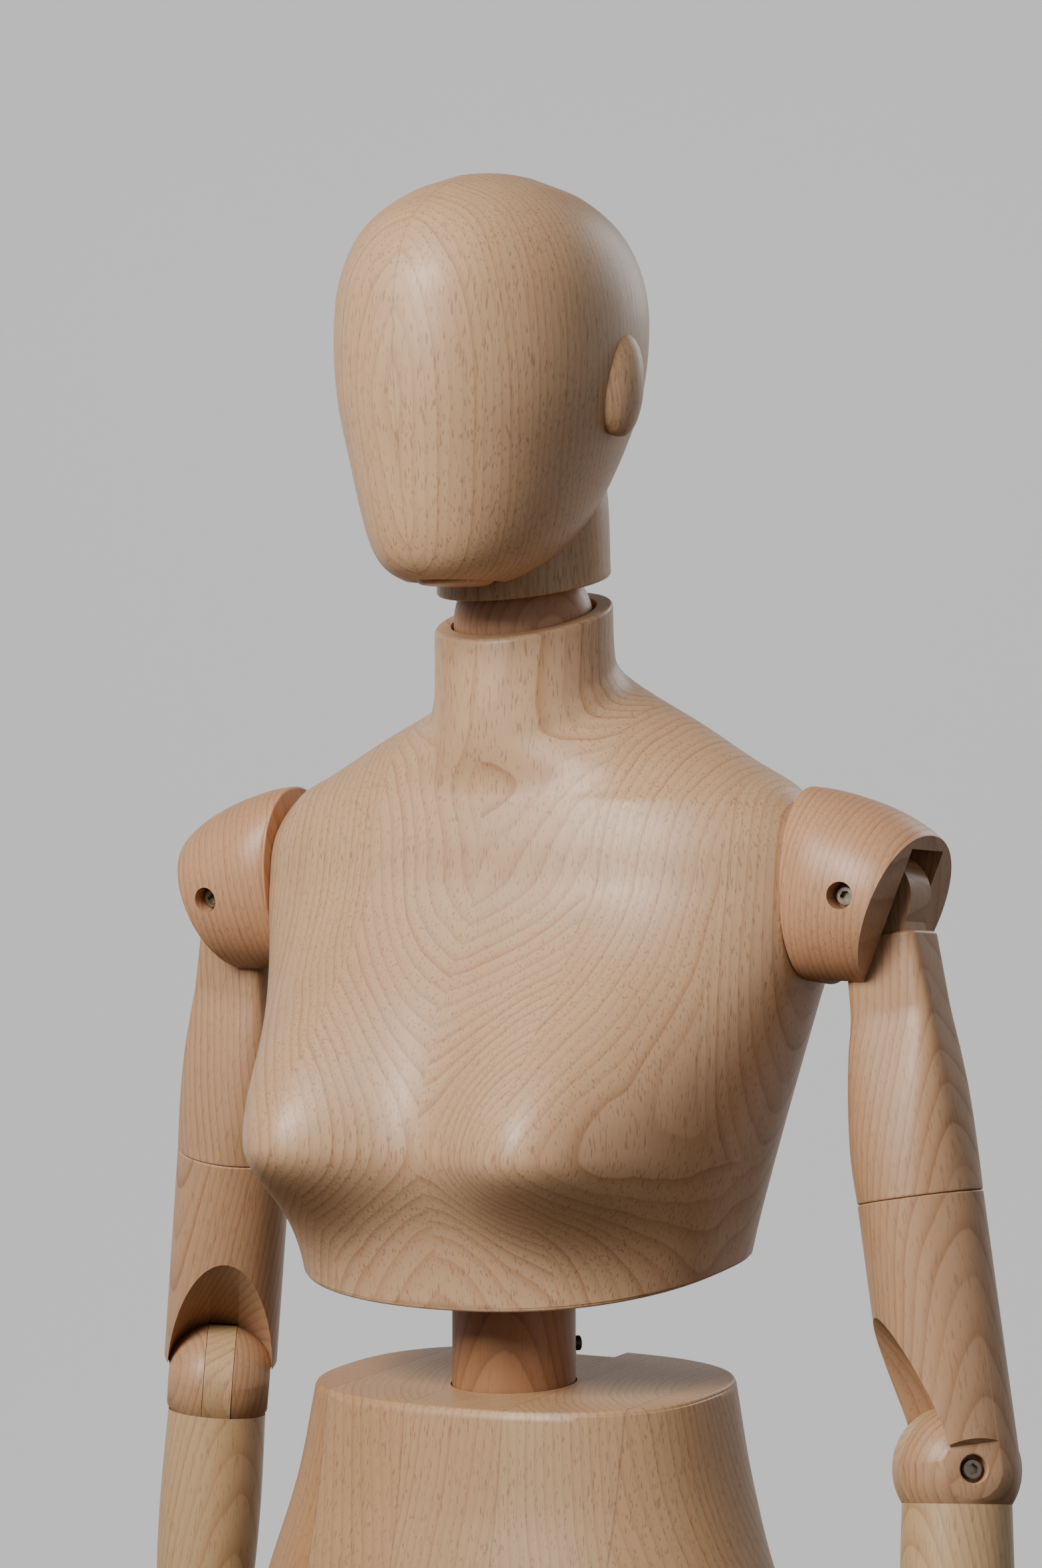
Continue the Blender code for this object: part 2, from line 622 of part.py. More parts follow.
def make_head(bend):
    nod = empty("neck_nod", bend, (0, NECK_Y - WAIST_Y, NECK_Z - TORSO_Z - PIN_RISE))
    neck_ball = solid("neck_ball", nod, (0, 0, 0), ball(BALL_RADIUS))
    cut(neck_ball, "stud_bore", (0, 0, 0), rod(clear(STUD_RADIUS, FIT, SMALL), 0, LONG))
    wood(neck_ball, RED_BEECH)
    stud = solid("neck_stud", nod, (0, 0, 0), rod(STUD_RADIUS, FIT, BALL_RADIUS + STUD_LENGTH))
    steel(stud)

    turn = empty("head_turn", nod, (0, 0, 0))
    collar = COLLAR_Z - NECK_Z
    crown = collar + HEAD_HEIGHT
    rings = []
    for share, half_x, front, back in HEAD_SHAPE:
        middle = (front + back) / 2 - NECK_Y
        rings.append(oval(half_x, (back - front) / 2, crown - share * HEAD_HEIGHT, (0, middle),
                          HEAD_POWER, sides=FINE))
    rings.append([Vector((0, sum(HEAD_SHAPE[-1][2:]) / 2 - NECK_Y, crown))])
    head = solid("head", turn, (0, 0, 0), loft(rings))
    join(head, "column", (0, 0, 0), loft([
        oval(half_x, half_y, collar + rise, slope=slope)
        for rise, half_x, half_y, slope in COLUMN_SHAPE]))
    for side in (1, -1):
        ear = solid(f"head_ear_{side}", turn,
                    (side * EAR_PLACE[0], EAR_PLACE[1] - NECK_Y, collar + EAR_PLACE[2] * HEAD_HEIGHT),
                    turned(ball_profile(1, 0, 180, 6), SMALL))
        for vertex in ear.data.vertices:
            vertex.co = [scale * value for scale, value in zip(EAR, vertex.co)]
        ear.rotation_euler = (math.radians(EAR_LEAN), 0, 0)
        combine(head, ear, "UNION")
    cut(head, "ball_seat", (0, 0, 0), ball(clear_ball(BALL_RADIUS, SLIDE)))
    stud_bore = clear(STUD_RADIUS, BORE_PLAY, SMALL)
    cut(head, "stud_bore", (0, 0, 0), rod(stud_bore, 0, BALL_RADIUS + STUD_LENGTH + BORE_FLOOR))
    wood(head)


# ---------------------------------------------------------------------- arm

# Distance out from the joint face, half depth, top and bottom above the joint's centre, centre Y
CAP_SHAPE = [
    (0.000, 0.0355, 0.0560, -0.0440, 0.000),
    (0.012, 0.0415, 0.0545, -0.0455, 0.002),
    (0.026, 0.0445, 0.0510, -0.0465, 0.004),
    (0.042, 0.0450, 0.0455, -0.0465, 0.005),
    (0.056, 0.0420, 0.0385, -0.0445, 0.005),
    (0.066, 0.0360, 0.0310, -0.0400, 0.005),
    (0.070, 0.0280, 0.0240, -0.0340, 0.005),
]
CAP_POWER = 2.1
CAP_SLOT_WALL = 0.012       # joint face to the slot's inner side
CAP_RIM_DISTANCE = 0.0161    # shoulder bolt to the oblique rim
CAP_RIM_ANGLE = 20.5        # the rim faces this far below level
SLOT_ROOF = 0.0265          # shoulder bolt to the slot's roof
SLOT_SHOULDER = 0.008       # the slot's inner side is upright to this height
ROOF_LEAD = 4.0             # degrees past that side at which the round roof starts
ROOF_STEPS = 6
SHOULDER_DROP = -0.001

# Distance below the shoulder bolt, half width, half thickness, offset outwards, squareness
UPPER_ARM_SHAPE = [
    (0.020, 0.0205, TENON_THICKNESS / 2, 0.003, 6.0),
    (0.058, 0.0230, TENON_THICKNESS / 2, 0.003, 5.0),
    (0.078, 0.0258, 0.0215, 0.002, 4.0),
    (0.103, 0.0290, 0.0265, 0.001, 3.0),
    (0.130, 0.0312, 0.0302, 0.000, 2.4),
    (UPPER_ARM_TOP, 0.0320, 0.0320, 0.000, 2.0),
]

# Share of the length, radius
FOREARM_SHAPE = [
    (0.000, 0.0275),
    (0.250, 0.0287),
    (0.450, 0.0280),
    (0.700, 0.0245),
    (1.000, 0.0215),
]


def make_cap(swing, suffix, side):
    """The hood over the shoulder; its slot opens outwards and down."""
    rings = []
    for out, half_y, top, bottom, centre in CAP_SHAPE:
        middle, half_z = (top + bottom) / 2, (top - bottom) / 2
        ring = oval(half_y, half_z, 0, power=CAP_POWER)
        rings.append([Vector((side * (out + FIT), centre + point.x, middle + point.y))
                      for point in ring])
    cap = solid("shoulder_cap" + suffix, swing, (0, 0, 0), loft(rings))

    bolt = (side * SHOULDER_REACH, SLOT_Y, SHOULDER_DROP)
    rim = solid(cap.name + "_rim", swing, bolt,
                bar((CAP_RIM_DISTANCE, -LONG, -LONG), (LONG, LONG, LONG)))
    rim.rotation_euler = (0, math.radians(CAP_RIM_ANGLE if side > 0 else 180 - CAP_RIM_ANGLE), 0)
    combine(cap, rim, "DIFFERENCE")

    inner = -(SHOULDER_REACH - CAP_SLOT_WALL)
    outline = [Vector((inner, -LONG)), Vector((inner, SLOT_SHOULDER))]
    start = math.degrees(math.acos(inner / SLOT_ROOF)) - ROOF_LEAD
    for i in range(ROOF_STEPS + 1):
        angle = math.radians(start + (90 - RAISE_HEADROOM - start) * i / ROOF_STEPS)
        outline.append(Vector((SLOT_ROOF * math.cos(angle), SLOT_ROOF * math.sin(angle))))
    slope = math.radians(RAISE_HEADROOM)
    outline.append(outline[-1] + LONG * Vector((math.cos(slope), -math.sin(slope))))
    outline.append(Vector((outline[-1].x, -LONG)))
    half = SHOULDER_SLOT / 2
    cut(cap, "slot", bolt,
        loft([[Vector((side * x, y, z)) for x, z in outline] for y in (-half, half)]))

    radius = SHOULDER_BOLT_RADIUS
    bore = clear(radius, BORE_PLAY, SMALL)
    cut(cap, "bore", bolt, along("Y", rod(bore, -LONG, LONG)))
    for way in (1, -1):
        depths = sorted((way * SHOULDER_SINK, way * LONG))
        cut(cap, "sink", bolt, along("Y", rod(radius * COUNTERBORE_SCALE, *depths)))
    stud_bore = clear(STUD_RADIUS, BORE_PLAY, SMALL)
    cut(cap, "stud_bore", (0, 0, 0), along("X", rod(stud_bore, -side * LONG, side * CAP_STUD)))
    wood(cap, RED_BEECH)

    head = radius * BOLT_HEAD_SCALE
    low = SHOULDER_SINK + FIT
    top = low + COUNTERBORE_DEPTH * HEAD_SHARE
    shank = solid("shoulder_bolt" + suffix, swing, bolt, along("Y", turned([
        (radius, low), (radius, -low), (head, -low), (head, -top)], SMALL)))
    key = radius * KEY_SHARE
    cut(shank, "socket", bolt, along("Y", turned([(key, radius - top), (key, -LONG)], 6)))
    steel(shank, DARK_STEEL)
    nut = solid("shoulder_nut" + suffix, swing, bolt, along("Y", rod(head, low + FIT, top)))
    steel(nut, DARK_STEEL)
    return bolt


def make_arm(bend, side):
    index = 0 if side > 0 else 1
    suffix = "_left" if side > 0 else "_right"
    joint_y = SHOULDER_Y - WAIST_Y
    joint_z = SHOULDER_RISE - PIN_RISE
    swing = empty("shoulder_swing" + suffix, bend, (side * SHOULDER_FACE, joint_y, joint_z),
                  (ARM_SWING[index], 0, 0))
    stud_in = STUD_LENGTH / 2
    stud = solid("shoulder_stud" + suffix, bend, (0, joint_y, joint_z),
                 along("X", turned([(STUD_RADIUS, side * (SHOULDER_FACE - stud_in)),
                                    (STUD_RADIUS, side * (SHOULDER_FACE + CAP_STUD - FIT))], SMALL)))
    steel(stud)
    bolt = make_cap(swing, suffix, side)

    raise_ = empty("shoulder_raise" + suffix, swing, bolt, (0, -side * ARM_RAISE, 0))
    rings = [oval(half_x, half_y, -below, (side * offset, 0), power)
             for below, half_x, half_y, offset, power in UPPER_ARM_SHAPE]
    arm = solid("upper_arm" + suffix, raise_, (0, 0, 0), loft(rings))
    half = EYE_THICKNESS / 2
    join(arm, "eye", (0, 0, 0), along("Y", turned([(TENON_RADIUS, -half), (TENON_RADIUS, half)])))
    join(arm, "eye_root", (0, 0, 0),
         bar((-EYE_ROOT, -half, -EYE_ROOT_FOOT), (EYE_ROOT, half, -EYE_ROOT_TOP)))
    bore = clear(SHOULDER_BOLT_RADIUS, BORE_PLAY, SMALL)
    cut(arm, "bore", (0, 0, 0), along("Y", rod(bore, -LONG, LONG)))
    swivel = clear(SWIVEL_RADIUS, BORE_PLAY, SMALL)
    line = (0, 0, -UPPER_ARM_TOP)
    cut(arm, "swivel_bore", line, rod(swivel, -LONG, SWIVEL_REACH + FIT))
    wood(arm)
    pin = solid("arm_swivel_pin" + suffix, raise_, line,
                rod(SWIVEL_RADIUS, -SWIVEL_REACH, SWIVEL_REACH))
    steel(pin)

    turn = empty("arm_turn" + suffix, raise_, line, (0, 0, -side * ARM_TURN[index]))
    knee = [(r, z - UPPER_ARM_END) for r, z in ball_profile(ELBOW.ball, 90, 180, 4)]
    knuckle = solid("elbow_knuckle" + suffix, turn, (0, 0, 0), turned([(ELBOW.ball, -FIT)] + knee))
    place = (0, 0, -UPPER_ARM_END)
    relieved(knuckle, place, ELBOW, -1, ELBOW_TROUGH)
    slotted(knuckle, place, ELBOW, side)
    cut(knuckle, "swivel_bore", (0, 0, 0), rod(swivel, -SWIVEL_REACH - FIT, LONG))
    wood(knuckle)
    bolt_and_nut("elbow", suffix, turn, place, ELBOW, side)

    elbow = empty("elbow_bend" + suffix, turn, place, (-ELBOW_BEND[index], 0, 0))
    length = FOREARM_LENGTH - WRIST_END
    top = limb_top(ELBOW)
    forearm = solid("forearm" + suffix, elbow, (0, 0, 0), turned([
        (radius, -top - (length - top) * share) for share, radius in FOREARM_SHAPE]))
    tongued(forearm, ELBOW)
    pin_bore = clear(WRIST_PIN, BORE_PLAY, SMALL)
    cut(forearm, "swivel_bore", (0, 0, -length), rod(pin_bore, -LONG, WRIST_PIN_LENGTH + FIT))
    wood(forearm, PALE_BEECH)
    make_hand(elbow, suffix, side, length)



# Distance below the wrist bolt as a share of the hand, half width, half thickness
HAND_SHAPE = [
    (0.06, 0.0190, 0.0170),
    (0.15, 0.0235, 0.0165),
    (0.32, 0.0370, 0.0145),
    (0.50, 0.0400, 0.0125),
    (0.72, 0.0370, 0.0105),
    (0.90, 0.0290, 0.0085),
    (1.00, 0.0160, 0.0060),
]
HAND_POWER = 2.5

# Distance along the thumb, radius
THUMB_SHAPE = [
    (0.000, 0.0140),
    (0.030, 0.0140),
    (0.055, 0.0125),
    (0.080, 0.0100),
    (0.090, 0.0055),
]
THUMB_PLACE = (0.017, -0.030)   # X outwards and Z from the wrist bolt
THUMB_LEAN = 24.0


def make_hand(elbow, suffix, side, length):
    """Wrist knuckle with its own pin, and a mitten-shaped hand whose palm faces the body."""
    rest = 90 - ARM_TURN[0 if side > 0 else 1]
    turn = empty("wrist_turn" + suffix, elbow, (0, 0, -length), (0, 0, -side * rest))
    end = [(r, z - WRIST_END) for r, z in ball_profile(WRIST.ball, 90, 180, 4)]
    knuckle = solid("wrist_knuckle" + suffix, turn, (0, 0, 0), turned([
        (WRIST_PIN, WRIST_PIN_LENGTH), (WRIST_PIN, -FIT), (FOREARM_SHAPE[-1][1], -FIT)] + end))
    place = (0, 0, -WRIST_END)
    slotted(knuckle, place, WRIST, side)
    wood(knuckle, RED_BEECH)
    bolt_and_nut("wrist", suffix, turn, place, WRIST, side, with_nut=False)

    wrist = empty("wrist_bend" + suffix, turn, place)
    hand = solid("hand" + suffix, wrist, (0, 0, 0), loft([
        oval(half_x, half_y, -share * HAND_LENGTH, power=HAND_POWER)
        for share, half_x, half_y in HAND_SHAPE]))
    thumb = solid(hand.name + "_thumb", wrist, (side * THUMB_PLACE[0], 0, THUMB_PLACE[1]),
                  turned([(radius, -down) for down, radius in THUMB_SHAPE], SMALL))
    thumb.rotation_euler = (0, -side * math.radians(THUMB_LEAN), 0)
    combine(hand, thumb, "UNION")
    tongued(hand, WRIST)
    wood(hand)


# ---------------------------------------------------------------------- leg

# Share of the length from the joint above, half width, half depth
THIGH_SHAPE = [
    (0.00, 0.0460, 0.0460),
    (0.09, 0.0630, 0.0660),
    (0.23, 0.0735, 0.0775),
    (0.45, 0.0700, 0.0750),
    (0.70, 0.0580, 0.0620),
    (0.88, 0.0495, 0.0510),
    (1.00, 0.0480, 0.0480),
]
SHIN_SHAPE = [
    (0.00, 0.0420, 0.0420),
    (0.12, 0.0460, 0.0480),
    (0.30, 0.0480, 0.0520),
    (0.52, 0.0440, 0.0470),
    (0.78, 0.0345, 0.0360),
    (1.00, 0.0330, 0.0330),
]
FLATS_TOP = 0.75            # top of the knee's flats, as a share of the ball's radius
FLATS_LAP = 0.70            # where the whole thigh starts again

# Share of the foot's length from the heel, half width, top above the sole, offset inwards
FOOT_SHAPE = [
    (0.00, 0.0140, 0.030, 0.000),
    (0.06, 0.0270, 0.045, 0.000),
    (0.18, 0.0310, 0.060, 0.000),
    (0.34, 0.0315, 0.062, 0.000),
    (0.50, 0.0340, 0.050, 0.001),
    (0.68, 0.0425, 0.038, 0.003),
    (0.84, 0.0420, 0.027, 0.005),
    (0.95, 0.0320, 0.020, 0.008),
    (1.00, 0.0160, 0.013, 0.010),
]
FOOT_POWER = 2.6


def make_leg(root, side):
    suffix = "_left" if side > 0 else "_right"
    turn = empty("hip_turn" + suffix, root, (side * HIP_SPREAD, 0, PELVIS_Z),
                 (0, 0, side * HIP_TURN_OUT))
    flat = math.degrees(math.acos((HIP_DROP - FIT) / HIP.ball))
    body = [(r, z - HIP_DROP) for r, z in ball_profile(HIP.ball, flat, 180, 7)]
    knuckle = solid("hip_knuckle" + suffix, turn, (0, 0, 0), turned([
        (HIP_PIN_RADIUS, HIP_PIN_LENGTH), (HIP_PIN_RADIUS, -FIT)] + body))
    place = (0, 0, -HIP_DROP)
    slotted(knuckle, place, HIP, side)
    half = HIP.slot / 2
    cut(knuckle, "slot_mouth", place, bar((-half, -LONG, -LONG), (half, LONG, HIP_MOUTH)))
    wood(knuckle, RED_BEECH)
    bolt_and_nut("hip", suffix, turn, place, HIP, side)

    swing = empty("hip_swing" + suffix, turn, place)
    top = limb_top(HIP)
    rings = [oval(half_x, half_y, -top - (THIGH_LENGTH - top) * share)
             for share, half_x, half_y in THIGH_SHAPE]
    for radius, z in ball_profile(KNEE.ball, 90, 180, 4)[1:-1]:
        rings.append(oval(radius, radius, z - THIGH_LENGTH))
    rings.append([Vector((0, 0, -KNEE.ball - THIGH_LENGTH))])
    thigh = solid("thigh" + suffix, swing, (0, 0, 0), loft(rings))
    knee_place = (0, 0, -THIGH_LENGTH)
    relieved(thigh, knee_place, KNEE, 1, KNEE_TROUGH)
    below = bar((-KNEE.cheek, -LONG, -LONG), (KNEE.cheek, LONG, KNEE.ball * FLATS_TOP))
    sides_kept = solid(thigh.name + "_flats", swing, knee_place, below)
    above = bar((-LONG, -LONG, KNEE.ball * FLATS_LAP), (LONG, LONG, LONG * 2))
    whole_kept = solid(thigh.name + "_upper", swing, knee_place, above)
    combine(sides_kept, whole_kept, "UNION")
    combine(thigh, sides_kept, "INTERSECT")
    slot_cut(thigh, knee_place, KNEE)
    bolt_bores(thigh, knee_place, KNEE, side)
    tongued(thigh, HIP)
    wood(thigh)
    bolt_and_nut("knee", suffix, swing, knee_place, KNEE, side)

    knee = empty("knee_bend" + suffix, swing, knee_place)
    top = limb_top(KNEE)
    rings = [oval(half_x, half_y, -top - (SHIN_LENGTH - top) * share)
             for share, half_x, half_y in SHIN_SHAPE]
    for radius, z in ball_profile(ANKLE.ball, 90, 180, 4)[1:-1]:
        rings.append(oval(radius, radius, z - SHIN_LENGTH))
    rings.append([Vector((0, 0, -ANKLE.ball - SHIN_LENGTH))])
    shin = solid("shin" + suffix, knee, (0, 0, 0), loft(rings))
    ankle_place = (0, 0, -SHIN_LENGTH)
    slot_cut(shin, ankle_place, ANKLE)
    bolt_bores(shin, ankle_place, ANKLE, side)
    tongued(shin, KNEE)
    wood(shin, PALE_BEECH)
    bolt_and_nut("ankle", suffix, knee, ankle_place, ANKLE, side, with_nut=False)

    ankle = empty("ankle_bend" + suffix, knee, ankle_place)
    rings = []
    for share, half_x, top, inwards in FOOT_SHAPE:
        ring = oval(half_x, top / 2, 0, power=FOOT_POWER)
        y = HEEL_REACH - share * FOOT_LENGTH
        rings.append([Vector((point.x - side * inwards, y, point.y + top / 2 - ANKLE_RISE))
                      for point in ring])
    foot = solid("foot" + suffix, ankle, (0, 0, 0), loft(rings))
    tongued(foot, ANKLE)
    wood(foot)


def main():
    for old in list(bpy.data.objects):
        bpy.data.objects.remove(old)
    root = make_stand()
    make_pelvis(root)
    bend = make_waist(root)
    make_torso(bend)
    make_head(bend)
    for side in (1, -1):
        make_arm(bend, side)
        make_leg(root, side)


main()
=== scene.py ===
"""A life-size beech lay figure on a steel stand, dressed for its portrait.

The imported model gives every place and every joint. Each section makes one piece,
or one group of like pieces, in the order in which the figure is put together.
"""

import json
import math

import bmesh
import bpy
from mathutils import Matrix, Vector


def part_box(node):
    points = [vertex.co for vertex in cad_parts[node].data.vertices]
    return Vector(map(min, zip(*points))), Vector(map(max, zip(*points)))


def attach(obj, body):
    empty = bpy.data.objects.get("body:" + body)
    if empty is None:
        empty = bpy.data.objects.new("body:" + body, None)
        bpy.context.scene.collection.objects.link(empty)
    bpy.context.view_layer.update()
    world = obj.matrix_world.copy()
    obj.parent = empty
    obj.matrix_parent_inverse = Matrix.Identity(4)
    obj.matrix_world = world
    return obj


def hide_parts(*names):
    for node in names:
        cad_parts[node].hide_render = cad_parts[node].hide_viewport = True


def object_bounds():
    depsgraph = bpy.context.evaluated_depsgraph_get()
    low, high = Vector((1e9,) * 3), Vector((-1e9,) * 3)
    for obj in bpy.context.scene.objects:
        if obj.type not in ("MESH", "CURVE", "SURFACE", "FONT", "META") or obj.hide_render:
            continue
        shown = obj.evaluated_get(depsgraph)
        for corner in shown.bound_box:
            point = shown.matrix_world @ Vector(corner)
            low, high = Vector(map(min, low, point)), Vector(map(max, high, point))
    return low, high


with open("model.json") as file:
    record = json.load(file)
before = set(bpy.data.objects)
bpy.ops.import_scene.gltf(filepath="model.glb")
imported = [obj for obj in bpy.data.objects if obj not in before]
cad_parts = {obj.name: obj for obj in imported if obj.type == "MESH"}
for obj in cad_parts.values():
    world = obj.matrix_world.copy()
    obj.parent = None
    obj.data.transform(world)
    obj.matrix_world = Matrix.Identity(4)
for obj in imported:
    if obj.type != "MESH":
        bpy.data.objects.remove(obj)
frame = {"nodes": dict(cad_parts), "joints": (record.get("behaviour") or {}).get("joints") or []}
cad_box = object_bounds()


# ---- Base plate, hub and upright -------------------------------------------
# A round plate of brushed steel, a blackened hub let into it, and a drawn steel
# tube that rises into the pelvis. All three are turned or drawn, so a lathe rule
# sweeps each one's profile round the upright's axis.

def lathe_tree():
    tree = bpy.data.node_groups.new("lathe", "GeometryNodeTree")
    face = tree.interface
    face.new_socket("Profile", in_out="INPUT", socket_type="NodeSocketGeometry")
    sides = face.new_socket("Sides", in_out="INPUT", socket_type="NodeSocketInt")
    spindle = face.new_socket("Spindle radius", in_out="INPUT", socket_type="NodeSocketFloat")
    finish = face.new_socket("Finish", in_out="INPUT", socket_type="NodeSocketMaterial")
    face.new_socket("Turned piece", in_out="OUTPUT", socket_type="NodeSocketGeometry")
    start = tree.nodes.new("NodeGroupInput")
    circle = tree.nodes.new("GeometryNodeCurvePrimitiveCircle")
    line = tree.nodes.new("GeometryNodeMeshToCurve")
    sweep = tree.nodes.new("GeometryNodeCurveToMesh")
    real = tree.nodes.new("GeometryNodeRealizeInstances")
    paint = tree.nodes.new("GeometryNodeSetMaterial")
    end = tree.nodes.new("NodeGroupOutput")
    join = tree.links.new
    join(start.outputs["Profile"], line.inputs["Mesh"])
    join(start.outputs["Sides"], circle.inputs["Resolution"])
    join(start.outputs["Spindle radius"], circle.inputs["Radius"])
    join(circle.outputs["Curve"], sweep.inputs["Curve"])
    join(line.outputs["Curve"], sweep.inputs["Profile Curve"])
    join(sweep.outputs["Mesh"], real.inputs["Geometry"])
    join(real.outputs["Geometry"], paint.inputs["Geometry"])
    join(start.outputs["Finish"], paint.inputs["Material"])
    join(paint.outputs["Geometry"], end.inputs["Turned piece"])
    return tree, sides.identifier, spindle.identifier, finish.identifier


LATHE = lathe_tree()
SPINDLE = 0.00002


def rounded(profile, radius, steps=4):
    """The (radius, height) profile with each inner corner rounded over."""
    points = [Vector(pair) for pair in profile]
    smooth = [points[0]]
    for before, corner, after in zip(points, points[1:], points[2:]):
        to_before = before - corner
        to_after = after - corner
        reach = min(radius, to_before.length * 0.45, to_after.length * 0.45)
        first = corner + to_before.normalized() * reach
        last = corner + to_after.normalized() * reach
        for i in range(steps + 1):
            t = i / steps
            smooth.append(first * (1 - t) ** 2 + corner * 2 * t * (1 - t) + last * t ** 2)
    smooth.append(points[-1])
    return [(point.x, point.y) for point in smooth]


def tidy(mesh, sharp=35.0):
    """Merges doubles, turns the faces outwards and shades all but the sharp edges smooth."""
    drawing = bmesh.new()
    drawing.from_mesh(mesh)
    bmesh.ops.remove_doubles(drawing, verts=drawing.verts, dist=0.000005)
    bmesh.ops.recalc_face_normals(drawing, faces=drawing.faces)
    drawing.to_mesh(mesh)
    drawing.free()
    for polygon in mesh.polygons:
        polygon.use_smooth = True
    mesh.set_sharp_from_angle(angle=math.radians(sharp))
    return mesh


def baked(thing):
    """The object's mesh with its modifiers applied, in place of the modifiers."""
    bpy.context.view_layer.update()
    ready = thing.evaluated_get(bpy.context.evaluated_depsgraph_get())
    mesh = bpy.data.meshes.new_from_object(ready)
    thing.modifiers.clear()
    thing.data = mesh
    return thing


def on_lathe(name, profile, finish, place=Matrix(), sides=96):
    """Turns a closed (radius, height) profile from axis to axis."""
    mesh = bpy.data.meshes.new(name)
    corners = [(radius - SPINDLE, -height, 0) for radius, height in profile]
    mesh.from_pydata(corners, [(i, i + 1) for i in range(len(corners) - 1)], [])
    thing = bpy.data.objects.new(name, mesh)
    bpy.context.scene.collection.objects.link(thing)
    step = thing.modifiers.new("lathe", "NODES")
    tree, sides_id, spindle_id, finish_id = LATHE
    step.node_group = tree
    step[sides_id] = sides
    step[spindle_id] = SPINDLE
    step[finish_id] = finish
    baked(thing)
    tidy(thing.data)
    thing.data.transform(place)
    return thing


def fitted(thing, body, nodes):
    """Hands a finished piece to its body, in place of its CAD nodes."""
    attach(thing, body)
    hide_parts(*nodes)


def wired(tree, kind, *values, **settings):
    """A node whose inputs are set in order: sockets are linked, None is left alone."""
    made = tree.nodes.new(kind)
    for name, value in settings.items():
        setattr(made, name, value)
    for socket, value in zip(made.inputs, values):
        if isinstance(value, bpy.types.NodeSocket):
            tree.links.new(value, socket)
        elif value is not None:
            socket.default_value = value
    return made


def worked(tree, operation, *values):
    return wired(tree, "ShaderNodeMath", *values, operation=operation).outputs[0]


def metal(name, colour, roughness, streak, way):
    """Steel with fine marks of the grinder; way stretches them along one direction."""
    made = bpy.data.materials.new(name)
    made.use_nodes = True
    tree = made.node_tree
    shader = tree.nodes["Principled BSDF"]
    shader.inputs["Metallic"].default_value = 1.0
    where = wired(tree, "ShaderNodeTexCoord").outputs["Object"]
    spread = wired(tree, "ShaderNodeMapping", where, None, None, way).outputs[0]
    marks = wired(tree, "ShaderNodeTexNoise", spread, None, 1.0, 4.0, 0.6).outputs[0]
    cloud = wired(tree, "ShaderNodeTexNoise", where, None, 14.0, 3.0, 0.6).outputs[0]
    level = worked(tree, "MULTIPLY_ADD", marks, streak, roughness - streak / 2)
    tree.links.new(worked(tree, "MULTIPLY_ADD", cloud, 0.10, worked(tree, "SUBTRACT", level, 0.05)),
                   shader.inputs["Roughness"])
    tint = wired(tree, "ShaderNodeMix", data_type="RGBA", clamp_factor=True)
    tint.inputs[6].default_value = (*[value * 0.86 for value in colour], 1)
    tint.inputs[7].default_value = (*[min(1, value * 1.1) for value in colour], 1)
    tree.links.new(worked(tree, "MULTIPLY_ADD", marks, 0.6, worked(tree, "MULTIPLY", cloud, 0.4)),
                   tint.inputs[0])
    tree.links.new(tint.outputs[2], shader.inputs["Base Color"])
    raised = wired(tree, "ShaderNodeBump", 0.25, 0.0002)
    tree.links.new(marks, raised.inputs["Height"])
    tree.links.new(raised.outputs[0], shader.inputs["Normal"])
    return made


BRUSHED_STEEL = metal("brushed_steel", (0.56, 0.56, 0.57), 0.34, 0.16, (30, 900, 900))
DRAWN_STEEL = metal("drawn_steel", (0.60, 0.60, 0.61), 0.26, 0.12, (700, 700, 12))
BLACKENED = metal("blackened_steel", (0.055, 0.053, 0.056), 0.42, 0.18, (420, 420, 420))

PLATE_ROUND = 0.0022
plate_low, plate_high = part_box("base_plate")
plate_radius = (plate_high[0] - plate_low[0]) / 2
plate = on_lathe("base_plate_turned", rounded([
    (0, plate_low[2]), (plate_radius, plate_low[2]), (plate_radius, plate_high[2]),
    (0.031, plate_high[2]), (0.031, plate_high[2] - 0.0006), (0, plate_high[2] - 0.0006)],
    PLATE_ROUND), BRUSHED_STEEL, sides=160)
fitted(plate, "stand_and_pelvis", ["base_plate"])

hub_low, hub_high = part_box("base_hub")
hub_radius = (hub_high[0] - hub_low[0]) / 2
FIT = 0.0003            # between two faces that touch
BORE_PLAY = 0.0004      # round a pin or a bolt in its bore
rod_radius = (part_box("stand_rod")[1][0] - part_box("stand_rod")[0][0]) / 2
hub = on_lathe("base_hub_turned", rounded([
    (0, plate_high[2]), (hub_radius, plate_high[2]), (hub_radius, plate_high[2] + 0.008),
    (hub_radius * 0.82, plate_high[2] + 0.014), (hub_radius * 0.74, hub_high[2] - 0.006),
    (hub_radius * 0.66, hub_high[2]), (rod_radius + BORE_PLAY, hub_high[2]),
    (rod_radius + BORE_PLAY, hub_high[2] - 0.002), (0, hub_high[2] - 0.002)], 0.0016), BLACKENED)
fitted(hub, "stand_and_pelvis", ["base_hub"])

rod_low, rod_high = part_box("stand_rod")
upright = on_lathe("stand_rod_drawn", rounded([
    (0, rod_low[2]), (rod_radius, rod_low[2]), (rod_radius, rod_high[2]), (0, rod_high[2])],
    0.0016), DRAWN_STEEL, sides=64)
fitted(upright, "stand_and_pelvis", ["stand_rod"])

for hidden_node in ("rod_sleeve", "waist_pin", "shoulder_stud_left", "shoulder_stud_right",
                    "neck_stud", "arm_swivel_pin_left", "arm_swivel_pin_right"):
    skin_of = frame["nodes"][hidden_node]
    skin_of.data.materials.clear()
    skin_of.data.materials.append(DRAWN_STEEL)


